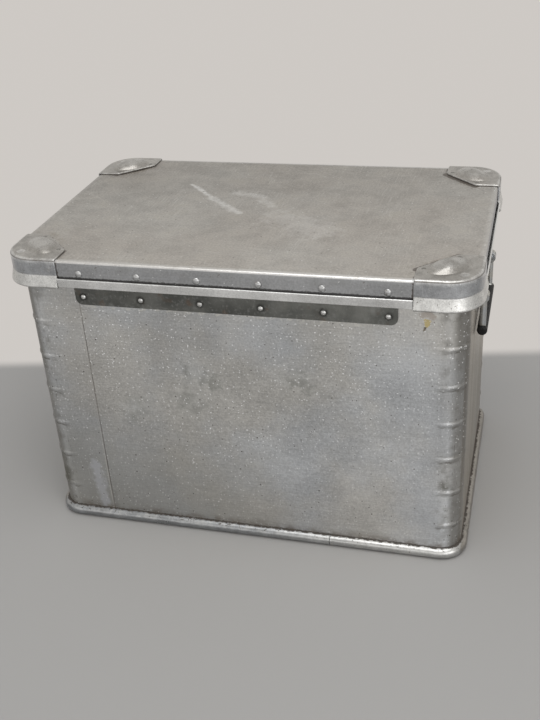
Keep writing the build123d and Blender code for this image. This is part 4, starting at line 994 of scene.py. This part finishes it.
class Growth(Tree):
    """A Geometry Nodes tree being built, with named inputs for its sizes."""

    def __init__(self, name):
        self.group = bpy.data.node_groups.new(name, "GeometryNodeTree")
        super().__init__(self.group)
        self.identifiers = {}
        for way in ("INPUT", "OUTPUT"):
            self.group.interface.new_socket(name="Geometry", in_out=way, socket_type="NodeSocketGeometry")
        self.start = self.nodes.new("NodeGroupInput")
        self.given = self.start.outputs["Geometry"]

    def size(self, name, default):
        """Named input; lengths are in metres."""
        socket = self.group.interface.new_socket(name=name, in_out="INPUT", socket_type="NodeSocketFloat")
        socket.default_value = default
        self.identifiers[name] = socket.identifier
        return self.start.outputs[name]

    def field(self, name, kind="FLOAT"):
        return self.node("GeometryNodeInputNamedAttribute", {"data_type": kind}, Name=name).outputs[0]

    def position(self):
        return self.node("GeometryNodeInputPosition").outputs[0]

    def split(self):
        """X, y and z of each point."""
        return self.node("ShaderNodeSeparateXYZ", Vector=self.position()).outputs

    def joined_up(self, x=0.0, y=0.0, z=0.0):
        return self.node("ShaderNodeCombineXYZ", X=x, Y=y, Z=z).outputs[0]

    def pushed(self, distance):
        """The given mesh, each point moved along its normal."""
        normal = self.node("GeometryNodeInputNormal").outputs[0]
        offset = self.node("ShaderNodeVectorMath", {"operation": "SCALE"}, Vector=normal, Scale=distance)
        return self.node("GeometryNodeSetPosition", Geometry=self.given, Offset=offset.outputs[0]).outputs[0]

    def rod(self, radius, length, middle):
        """Closed round bar along z, its middle at a height."""
        bar = self.node("GeometryNodeMeshCylinder", Vertices=16, Radius=radius, Depth=length)
        return self.node("GeometryNodeTransform", Geometry=bar.outputs[0],
                         Translation=self.joined_up(z=middle)).outputs[0]

    def finish(self, geometry, material):
        """Ends the tree in real geometry with its material."""
        real = self.node("GeometryNodeRealizeInstances", Geometry=geometry)
        painted = self.node("GeometryNodeSetMaterial", Geometry=real.outputs[0], Material=material)
        end = self.nodes.new("NodeGroupOutput")
        self.feed(end.inputs[0], painted.outputs[0])
        return self

    def grow(self, made, **sizes):
        """Adds the tree to an object, with its inputs set by their identifiers."""
        modifier = made.modifiers.new(self.group.name, "NODES")
        modifier.node_group = self.group
        for name, value in sizes.items():
            modifier[self.identifiers[name.replace("_", " ")]] = float(value)


def bead_tree(material):
    """Beads pressed outwards in the wall sheet, where it bends round the corners."""
    t = Growth("pressed beads")
    height, half = t.size("Height", 0.0018), t.size("Half Width", 0.0045)
    first, pitch, count = t.size("First Height", 0.05), t.size("Pitch", 0.05), t.size("Count", 6)
    z = t.split()[2]
    nearest = t.calc("ROUND", t.calc("DIVIDE", t.calc("SUBTRACT", z, first), pitch))
    nearest = t.calc("MAXIMUM", t.calc("MINIMUM", nearest, t.calc("SUBTRACT", count, 1.0)), 0.0)
    centre = t.calc("MULTIPLY_ADD", nearest, pitch, first)
    away = t.calc("DIVIDE", t.calc("ABSOLUTE", t.calc("SUBTRACT", z, centre)), half)
    wave = t.calc("COSINE", t.product(t.calc("MINIMUM", away, 1.0), math.pi))
    swell = t.calc("MULTIPLY_ADD", wave, 0.5, 0.5)
    return t.finish(t.pushed(t.product(swell, height, t.field("bend"))), material)


def dent_tree(material):
    """Shallow dents of two sizes, only inwards, where the sheet gives."""
    t = Growth("dents")
    depth, size, seed = t.size("Depth", 0.0005), t.size("Size", 0.1), t.size("Seed", 1.0)
    small = t.size("Small Depth", 0.0001)
    position, scale = t.position(), t.calc("DIVIDE", 1.0, size)
    broad, fine = (t.node("ShaderNodeTexNoise", {"noise_dimensions": "4D"}, Vector=position, Scale=part,
                          W=seed, Detail=2.0).outputs[0] for part in (scale, t.product(scale, 6.0)))
    push = t.calc("MULTIPLY_ADD", broad, depth, t.product(fine, small))
    return t.finish(t.pushed(t.product(push, t.field("give"), -1.0)), material)


def dent(made, material):
    """Dents a piece as its own line of sizes says."""
    depth, size, small, seed = DENTS[made.name]
    dent_tree(material).grow(made, Depth=depth * MM, Size=size * MM, Small_Depth=small * MM, Seed=seed)


def rivet_tree(material):
    """Upset rivets on points: a domed head, a shank and a flat tail, each turned and tilted a little."""
    t = Growth("rivets")
    radius, height = t.size("Head Radius", 0.004), t.size("Head Height", 0.002)
    shank, grip = t.size("Shank Radius", 0.002), t.size("Grip", 0.003)
    tail_radius, tail = t.size("Tail Radius", 0.003), t.size("Tail Height", 0.001)
    ball = t.node("GeometryNodeMeshUVSphere", Segments=28, Rings=18, Radius=1.0)
    x, y, z = t.split()
    crown = t.calc("POWER", t.calc("MAXIMUM", z, 0.0), 1.25)
    shaped = t.joined_up(t.product(x, radius), t.product(y, radius), t.product(crown, height))
    head = t.node("GeometryNodeSetPosition", Geometry=ball.outputs[0], Position=shaped)
    stem = t.rod(shank, grip, t.product(grip, -0.5))
    foot = t.rod(tail_radius, tail, t.calc("SUBTRACT", t.product(grip, -1.0), t.product(tail, 0.5)))
    whole = t.node("GeometryNodeJoinGeometry")
    for solid in (head.outputs[0], stem, foot):
        t.feed(whole.inputs[0], solid)
    aimed = t.node("FunctionNodeAlignRotationToVector", {"axis": "Z"}, Vector=t.field("out", "FLOAT_VECTOR"))
    spin = t.node("FunctionNodeRandomValue", {"data_type": "FLOAT_VECTOR"})
    spin.inputs[0].default_value = [-most for most in RIVET_SPIN]
    spin.inputs[1].default_value = RIVET_SPIN
    turned = t.node("FunctionNodeRotateRotation", {"rotation_space": "LOCAL"}, Rotation=aimed.outputs[0],
                    Rotate_By=spin.outputs[0])
    placed = t.node("GeometryNodeInstanceOnPoints", Points=t.given, Instance=whole.outputs[0],
                    Rotation=turned.outputs[0])
    return t.finish(t.node("GeometryNodeSetShadeSmooth", Geometry=placed.outputs[0]).outputs[0], material)


# Body

def map_round(wall):
    """Map of the wall in metres: the way round it from the middle of the +X end, and the height."""
    bent = CORNER_RADIUS * math.pi / 2
    whole = 4 * (CORNER_X + CORNER_Y + bent)

    def way(co):
        across, back = abs(co.x) - CORNER_X, abs(co.y) - CORNER_Y
        if across > 0 and back > 0:
            from_end = CORNER_Y + CORNER_RADIUS * math.atan2(back, across)
        else:
            from_end = abs(co.y) if back <= 0 else CORNER_Y + bent + CORNER_X - abs(co.x)
        half = whole / 2
        if co.x >= 0:
            return from_end if co.y >= 0 else whole - from_end
        return half - from_end if co.y >= 0 else half + from_end

    layer = wall.data.uv_layers.new(name=WALL_MAP)
    for face in wall.data.polygons:
        ways = [way(wall.data.vertices[i].co / MM) for i in face.vertices]
        ways = [w + whole if max(ways) - w > whole / 2 else w for w in ways]
        for corner, w, i in zip(face.loop_indices, ways, face.vertices):
            layer.data[corner].uv = (w * MM, wall.data.vertices[i].co.z)


def wall_heights():
    """Heights of the wall's rows: close together at the beads, where it meets the rail, and at the top."""
    levels = {SHELL_LOW.z, SHELL_HIGH.z, RAIL_HIGH.z, *WALL_TOP_ROWS}
    for bead in range(BEAD_COUNT):
        centre = BEAD_FIRST_Z + bead * BEAD_PITCH
        levels |= {centre + BEAD_HALF_WIDTH * step / 6 for step in range(-7, 8)}
        levels |= {centre + BEAD_PITCH * share for share in BETWEEN_BEADS}
    return sorted(z for z in levels if SHELL_LOW.z <= z <= SHELL_HIGH.z)


def body_wall(material):
    """Wall sheet with its beads, seam and shallow dents."""
    edge = SEAM_WIDTH / 2
    marks = [SEAM_X + side for side in (edge + SEAM_SLOPE, edge, -edge, -edge - SEAM_SLOPE)]
    stations = perimeter(26, 13.0, marks, (2.5, 5.0, 7.5, 10.0))
    mesh = bmesh.new()
    rows = carried(mesh, [(0.0, z) for z in wall_heights()], stations, closed=False)
    for row, (point, out, turn) in zip(rows, stations):
        if turn is None and out.y > 0.9 and abs(point.x - SEAM_X) <= edge + 0.01:
            for vertex in row:
                if vertex.co.z > RAIL_HIGH.z:
                    vertex.co.y -= SEAM_DEPTH
    wall = piece("wall_sheet", mesh)

    def bend(co):
        across, deep = abs(co.x) - CORNER_X, abs(co.y) - CORNER_Y
        from_end, from_rear = deep, across
        if across > 0 and deep > 0:
            from_end = CORNER_RADIUS * math.atan2(deep, across)
            from_rear = CORNER_RADIUS * math.atan2(across, deep)
        return smooth_step(from_end, *BEAD_TAPER) * smooth_step(from_rear, *BEAD_TAPER)

    def give(co):
        flat = max(HALF_LENGTH - abs(co.x), HALF_WIDTH - abs(co.y)) - CORNER_RADIUS
        seam = smooth_step(abs(co.x - SEAM_X), 4, 26) if co.y > 0 else 1.0
        return smooth_step(flat, 0, 60) * smooth_step(co.z, 18, 70) * smooth_step(-co.z, -305, -250) * seam

    map_round(wall)
    paint(wall, "bend", bend)
    paint(wall, "give", give)
    bead_tree(material).grow(wall, Height=BEAD_HEIGHT * MM, Half_Width=BEAD_HALF_WIDTH * MM,
                             First_Height=BEAD_FIRST_Z * MM, Pitch=BEAD_PITCH * MM, Count=BEAD_COUNT)
    dent(wall, material)
    solidify(wall, WALL)
    settle(wall, 50)
    mark_outside(wall)
    dress(wall, "case_body", material, "wall_sheet", "body_shell")


def foot_rail(material):
    """Half-round foot rail, dinged along its run, with its butt joint at the rear."""
    gap = RAIL_JOINT_GAP / 2
    stations = perimeter(24, 6.0, (RAIL_JOINT_X + gap, RAIL_JOINT_X - gap))
    first = next(i for i, (p, out, _) in enumerate(stations)
                 if out.y > 0.9 and abs(p.x - (RAIL_JOINT_X - gap)) < 0.01)
    radius = (RAIL_HIGH.z - RAIL_LOW.z) / 2
    section = [(0.0, RAIL_HIGH.z), *arc((RAIL_FLAT, radius), radius, 90, -90, 20), (-RAIL_FLANGE, 0.0),
               (-RAIL_FLANGE, RAIL_FLANGE_SHEET), (0.0, RAIL_FLANGE_SHEET)]
    mesh = bmesh.new()
    carried(mesh, section, stations[first:] + stations[:first], loop=False)
    rail = piece("foot_rail", mesh, 40)
    reach = RAIL_FLAT + 1.0

    def give(co):
        out = max(abs(co.x) - HALF_LENGTH, abs(co.y) - HALF_WIDTH)
        return smooth_step(out, reach - 2, reach + 1) * smooth_step(co.z, 0.5, 3.0)

    paint(rail, "give", give)
    dent(rail, material)
    settle(rail, 40)
    dress(rail, "case_body", material, "rail_profile", "bottom_rail")


def rim_channel(material):
    """Channel folded over the wall's top edge, with soft folds."""
    outside, inside = RIM_WALL, -WALL - RIM_WALL
    low, high, under = RIM_LOW.z, RIM_HIGH.z, RIM_HIGH.z - RIM_TOP_SHEET
    points = [(outside, low), (outside, high), (inside, high), (inside, low), (-WALL, low), (-WALL, under),
              (0.0, under), (0.0, low)]
    mesh = bmesh.new()
    carried(mesh, rounded(points, (0.4, 1.2, 1.2, 0.4, 0, 0, 0, 0)), perimeter(16, 20.0))
    dress(piece("rim_channel", mesh), "case_body", material, "rail_profile", "body_rim")


# Lid

def lid_skin(material):
    """Lid sheet: flange, rounded edge and a slightly sagging, dented top."""
    radius, top = LID_EDGE_RADIUS, LID_HIGH.z
    flange = [(OVERHANG, LID_LOW.z + up) for up in (0, 8, 16, 24)]
    edge = arc((OVERHANG - radius, top - radius), radius, 0, 90, 7)
    inwards = [(reach, top) for reach in (3.0, -3.0, -11.0, -19.0, -CORNER_RADIUS)]
    stations = perimeter(18, 16.0)
    mesh = bmesh.new()
    carried(mesh, flange + edge + inwards, stations, closed=False)
    xs = sorted({round(p.x, 6) for p, out, turn in stations if out.y > 0.9 and turn in (None, 0, 1)})
    ys = sorted({round(p.y, 6) for p, out, turn in stations if out.x > 0.9 and turn in (None, 0, 1)})
    joined(mesh, [[mesh.verts.new((x, y, top)) for y in ys] for x in xs], len(ys), closed=False)
    lid = piece("lid_skin", mesh)

    def flat(co):
        side = max(abs(co.x) - CORNER_X, abs(co.y) - CORNER_Y)
        return smooth_step(-side, -30, 20) if co.z > top - 0.01 else 0.0

    for vertex in lid.data.vertices:
        co = vertex.co / MM
        arch = (1 - (co.x / LID_HIGH.x) ** 2) * (1 - (co.y / LID_HIGH.y) ** 2)
        vertex.co.z -= LID_SAG * arch * flat(co) * MM
    paint(lid, "give", lambda co: flat(Vector((co.x, co.y, top))) if co.z > top - 1 else 0.0)
    paint(lid, "edge", lambda co: smooth_step(co.z, top - radius - 0.2, top - radius * 0.6)
          * smooth_step(max(abs(co.x) - LID_HIGH.x, abs(co.y) - LID_HIGH.y), -radius - 1.5, -radius + 0.3))
    paint(lid, "top", lambda co: smooth_step(co.z, top - radius, top - 1))
    dent(lid, material)
    solidify(lid, SHEET)
    settle(lid, 50)
    mark_outside(lid)
    dress(lid, "lid", material, "lid_sheet", "lid_sheet")


def lid_profile(material):
    """Frame inside the flange with its shelf, and the leaning outer lips between the castings."""
    inside, wall, shelf = OVERHANG - SHEET - FRAME_WALL, OVERHANG - SHEET, -FRAME_SHELF_INSET
    low, high = FRAME_LOW.z, FRAME_HIGH.z
    web, under = low + FRAME_WEB, high - FRAME_WALL
    points = [(OVERHANG, low), (OVERHANG, web), (wall, web), (wall, high), (shelf, high), (shelf, under),
              (inside, under), (inside, low)]
    mesh = bmesh.new()
    carried(mesh, rounded(points, (0, 0, 0, 0.3, 0.4, 0.4, 0.3, 0.5), 3), perimeter(16, 20.0))
    inner = LIP_REACH - LIP_WALL
    lip = [(OVERHANG, low), (LIP_REACH, low), (LIP_REACH - LIP_LEAN, LIP_TOP), (inner, LIP_TOP), (inner, web),
           (OVERHANG, web)]
    lip = rounded(lip, (0, 2.6, 0.5, 0.35, 0.4, 0))
    for side in range(4):
        half = (LID_HIGH.y if side in (0, 2) else LID_HIGH.x) - CASTING_WING - LIP_END_GAP
        carried(mesh, lip, straight_run(side, half), loop=False)
    profile = piece("lid_profile", mesh)
    outer = OVERHANG + 1.0
    paint(profile, "give", lambda co: smooth_step(
        max(abs(co.x) - HALF_LENGTH, abs(co.y) - HALF_WIDTH), outer, outer + 2))
    dent(profile, material)
    settle(profile, 35)
    dress(profile, "lid", material, "rail_profile", "lid_frame")


def seal_strip(material):
    """Cellular strip under the frame's shelf, with soft lower edges."""
    outside, inside = SEAL_REACH, SEAL_REACH - SEAL_WIDTH
    points = [(outside, SEAL_LOW.z), (outside, SEAL_HIGH.z), (inside, SEAL_HIGH.z), (inside, SEAL_LOW.z)]
    mesh = bmesh.new()
    carried(mesh, rounded(points, (2.4, 0, 0, 2.4)), perimeter(16, 20.0))
    dress(piece("seal_strip", mesh), "lid", material, "seal_rubber", "lid_seal")


def softened(node):
    """Copy of a node with its edges softened, as cast metal has them."""
    mesh = merged(node)
    data = bpy.data.meshes.new(f"cast_{node}")
    mesh.to_mesh(data)
    mesh.free()
    made = stand(f"cast_{node}", data)
    grain = made.modifiers.new("voxels", "REMESH")
    grain.mode, grain.voxel_size = "VOXEL", CAST_VOXEL * MM
    soft = made.modifiers.new("soften", "SMOOTH")
    soft.factor, soft.iterations = 0.5, 2
    settle(made)
    return made


def round_shoulder(casting):
    """Wears the outer top edge of a casting to a soft round, and thins its mesh."""
    group = casting.vertex_groups.new(name="shoulder")
    edge = FRAME_HIGH.x - CORNER_X
    for vertex in casting.data.vertices:
        co = vertex.co / MM
        across, deep = abs(co.x) - CORNER_X, abs(co.y) - CORNER_Y
        out = math.hypot(max(across, 0), max(deep, 0)) if min(across, deep) > 0 else max(across, deep)
        weight = smooth_step(out, edge - 12, edge - 7) * smooth_step(co.z, LID_HIGH.z - 6, LID_HIGH.z - 3)
        if weight > 0:
            group.add([vertex.index], weight, "REPLACE")
    soft = casting.modifiers.new("shoulder", "SMOOTH")
    soft.factor, soft.iterations, soft.vertex_group = 0.6, 26, "shoulder"
    thin = casting.modifiers.new("thin", "DECIMATE")
    thin.ratio = 0.6
    settle(casting, 180)


def cast_corners(material):
    for corner in ("rear_right", "rear_left", "front_left", "front_right"):
        node = f"corner_{corner}"
        casting = softened(node)
        round_shoulder(casting)
        dress(casting, "lid", material, "corner_cast", node)


# Rivets

def solid_boxes(node):
    """Lowest and highest corner of each separate solid of a node, in metres."""
    mesh = merged(node)
    left, boxes = set(mesh.verts), []
    while left:
        front = [left.pop()]
        found = list(front)
        while front:
            vertex = front.pop()
            joined_to = {edge.other_vert(vertex) for edge in vertex.link_edges} & left
            left -= joined_to
            front += joined_to
            found += joined_to
        places = [v.co for v in found]
        boxes.append(tuple(Vector(f(p[i] for p in places) for i in range(3)) for f in (min, max)))
    mesh.free()
    return sorted(boxes, key=lambda box: tuple(round(value, 5) for value in box[0]))


def rivet_group(node, tree, material):
    """Rivets of one group, standing where the node's solids stand."""
    height, facing = RIVETS[node][0] * MM, Vector(RIVETS[node][1])
    boxes = solid_boxes(node)
    low, high = boxes[0]
    length = abs((high - low).dot(facing))
    radius = max((high - low)[i] for i in range(3) if not facing[i]) / 2
    places = [(low + high) / 2 + facing * (length / 2 - height) for low, high in boxes]
    data = bpy.data.meshes.new(f"set_{node}")
    data.from_pydata(places, [], [])
    layer = data.attributes.new("out", "FLOAT_VECTOR", "POINT")
    for item in layer.data:
        item.vector = facing
    made = stand(f"set_{node}", data)
    tree.grow(made, Head_Radius=radius * HEAD_SHARE, Head_Height=height * HEAD_HEIGHT_SHARE,
              Shank_Radius=RIVET_SHANK * MM, Grip=length - height - RIVET_TAIL * MM,
              Tail_Radius=RIVET_TAIL_RADIUS * MM, Tail_Height=RIVET_TAIL * MM)
    settle(made)
    dress(made, frame["nodes"][node]["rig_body"], material, "rivet_aluminium", node)


# Handles

def grip_sleeve(end, material):
    """Moulded grip: a round sleeve with softened ends and fine rings."""
    node = f"handle_grip_{end}"
    low, high = span(node)
    centre, half = (low + high) / 2, (high.y - low.y) / 2
    outline = [(radius, along - half) for radius, along in GRIP_END]
    position = GRIP_PLAIN_END - half
    while position < half - GRIP_PLAIN_END + 1.0:
        outline += [(GRIP_RADIUS, position), (GRIP_RADIUS - GRIP_RING, position + 0.5),
                    (GRIP_RADIUS, position + 1.0)]
        position += GRIP_RING_PITCH
    outline += [(radius, half - along) for radius, along in reversed(GRIP_END)]
    angles = [2 * math.pi * i / 40 for i in range(40)]
    mesh = bmesh.new()
    rows = [[mesh.verts.new((centre.x + radius * math.cos(a), centre.y + y, centre.z + radius * math.sin(a)))
             for a in angles] for radius, y in outline]
    joined(mesh, rows, len(angles))
    dress(piece(f"grip_sleeve_{end}", mesh, 60), f"handle_{end}", material, "grip_plastic", node)


# Studio

def pale_floor():
    """Floor finish that turns into the pale background beyond a line, for the camera and reflections."""
    f = Finish("pale floor", 0.0, 0.7, (0.405, 0.395, 0.38))
    beyond = f.fall(f.less(f.y, f.product(f.x, BACKDROP_SLOPE)), BACKDROP_LINE - 0.02, BACKDROP_LINE + 0.02)
    glow = f.node("ShaderNodeEmission", Color=(0.615, 0.585, 0.555, 1.0))
    mixed = f.node("ShaderNodeMixShader")
    f.feed_all(mixed.inputs, f.product(beyond, seen_rays(f)), f.shader.outputs[0], glow.outputs[0])
    f.feed(f.nodes["Material Output"].inputs["Surface"], mixed.outputs[0])
    return f.material


def seen_rays(tree):
    """1 for what the camera sees, itself or mirrored in the metal."""
    rays = tree.node("ShaderNodeLightPath")
    return tree.most(rays.outputs["Is Camera Ray"], rays.outputs["Is Glossy Ray"])


def pale_room():
    """Even light from all round, behind a pale background."""
    world = bpy.data.worlds.new("pale room")
    bpy.context.scene.world = world
    world.use_nodes = True
    tree = Tree(world.node_tree)
    room = tree.nodes["Background"]
    tree.feed_all(room.inputs, (0.93, 0.94, 0.96, 1), 0.55)
    shown = tree.node("ShaderNodeBackground", Color=(0.62, 0.605, 0.58, 1))
    mixed = tree.node("ShaderNodeMixShader")
    tree.feed_all(mixed.inputs, seen_rays(tree), room.outputs[0], shown.outputs[0])
    tree.feed(tree.nodes["World Output"].inputs["Surface"], mixed.outputs[0])


def studio():
    """Plain pale floor and background, and the lamps."""
    half = FLOOR_SIZE / 2 / MM
    corners = ((-half, -half), (half, -half), (half, half), (-half, half))
    mesh = bmesh.new()
    mesh.faces.new([mesh.verts.new((x, y, 0.0)) for x, y in corners])
    floor = piece("floor", mesh)
    floor.data.materials.append(pale_floor())
    pale_room()
    for name, place, target, width, height, power in LAMPS:
        data = bpy.data.lights.new(name, "AREA")
        data.shape = "RECTANGLE"
        data.size, data.size_y, data.energy = width, height, power
        lamp = stand(name, data)
        lamp.location = place
        lamp.rotation_euler = (Vector(target) - Vector(place)).to_track_quat("-Z", "Y").to_euler()
        lamp.visible_camera = False


def camera():
    bpy.context.scene.view_settings.view_transform = "Standard"
    data = bpy.data.cameras.new("camera")
    data.lens, data.sensor_width = CAMERA_LENS, CAMERA_SENSOR
    made = stand("camera", data)
    made.location = CAMERA_PLACE
    made.rotation_euler = [math.radians(angle) for angle in CAMERA_TURN]
    bpy.context.scene.camera = made


def keep_with_finish(finishes):
    """Gives every node that stays its finish, by its material slot in the record."""
    for part in frame["record"]["subparts"]:
        node = frame["nodes"][part["node"]]
        if not node.hide_render:
            for slot in node.material_slots:
                slot.material = finishes[part["material_slot"]]


def main():
    finishes = {
        "wall_sheet": WallFinish().build(), "lid_sheet": LidFinish().build(), "corner_cast": cast_finish(),
        "rail_profile": profile_finish(), "hinge_steel": hinge_finish(), "rivet_aluminium": rivet_finish(),
        "grip_plastic": grip_finish(), "seal_rubber": seal_finish(),
        "handle_steel": plate_finish("handle plate", 0.56), "latch_steel": plate_finish("latch plate", 0.62),
        "stay_steel": plate_finish("stay plate", 0.50),
    }
    body_wall(finishes["wall_sheet"])
    foot_rail(finishes["rail_profile"])
    rim_channel(finishes["rail_profile"])
    lid_skin(finishes["lid_sheet"])
    lid_profile(finishes["rail_profile"])
    seal_strip(finishes["seal_rubber"])
    cast_corners(finishes["corner_cast"])
    rivets = rivet_tree(finishes["rivet_aluminium"])
    for node in RIVETS:
        rivet_group(node, rivets, finishes["rivet_aluminium"])
    for end in ("left", "right"):
        grip_sleeve(end, finishes["grip_plastic"])
    keep_with_finish(finishes)
    studio()
    camera()


main()
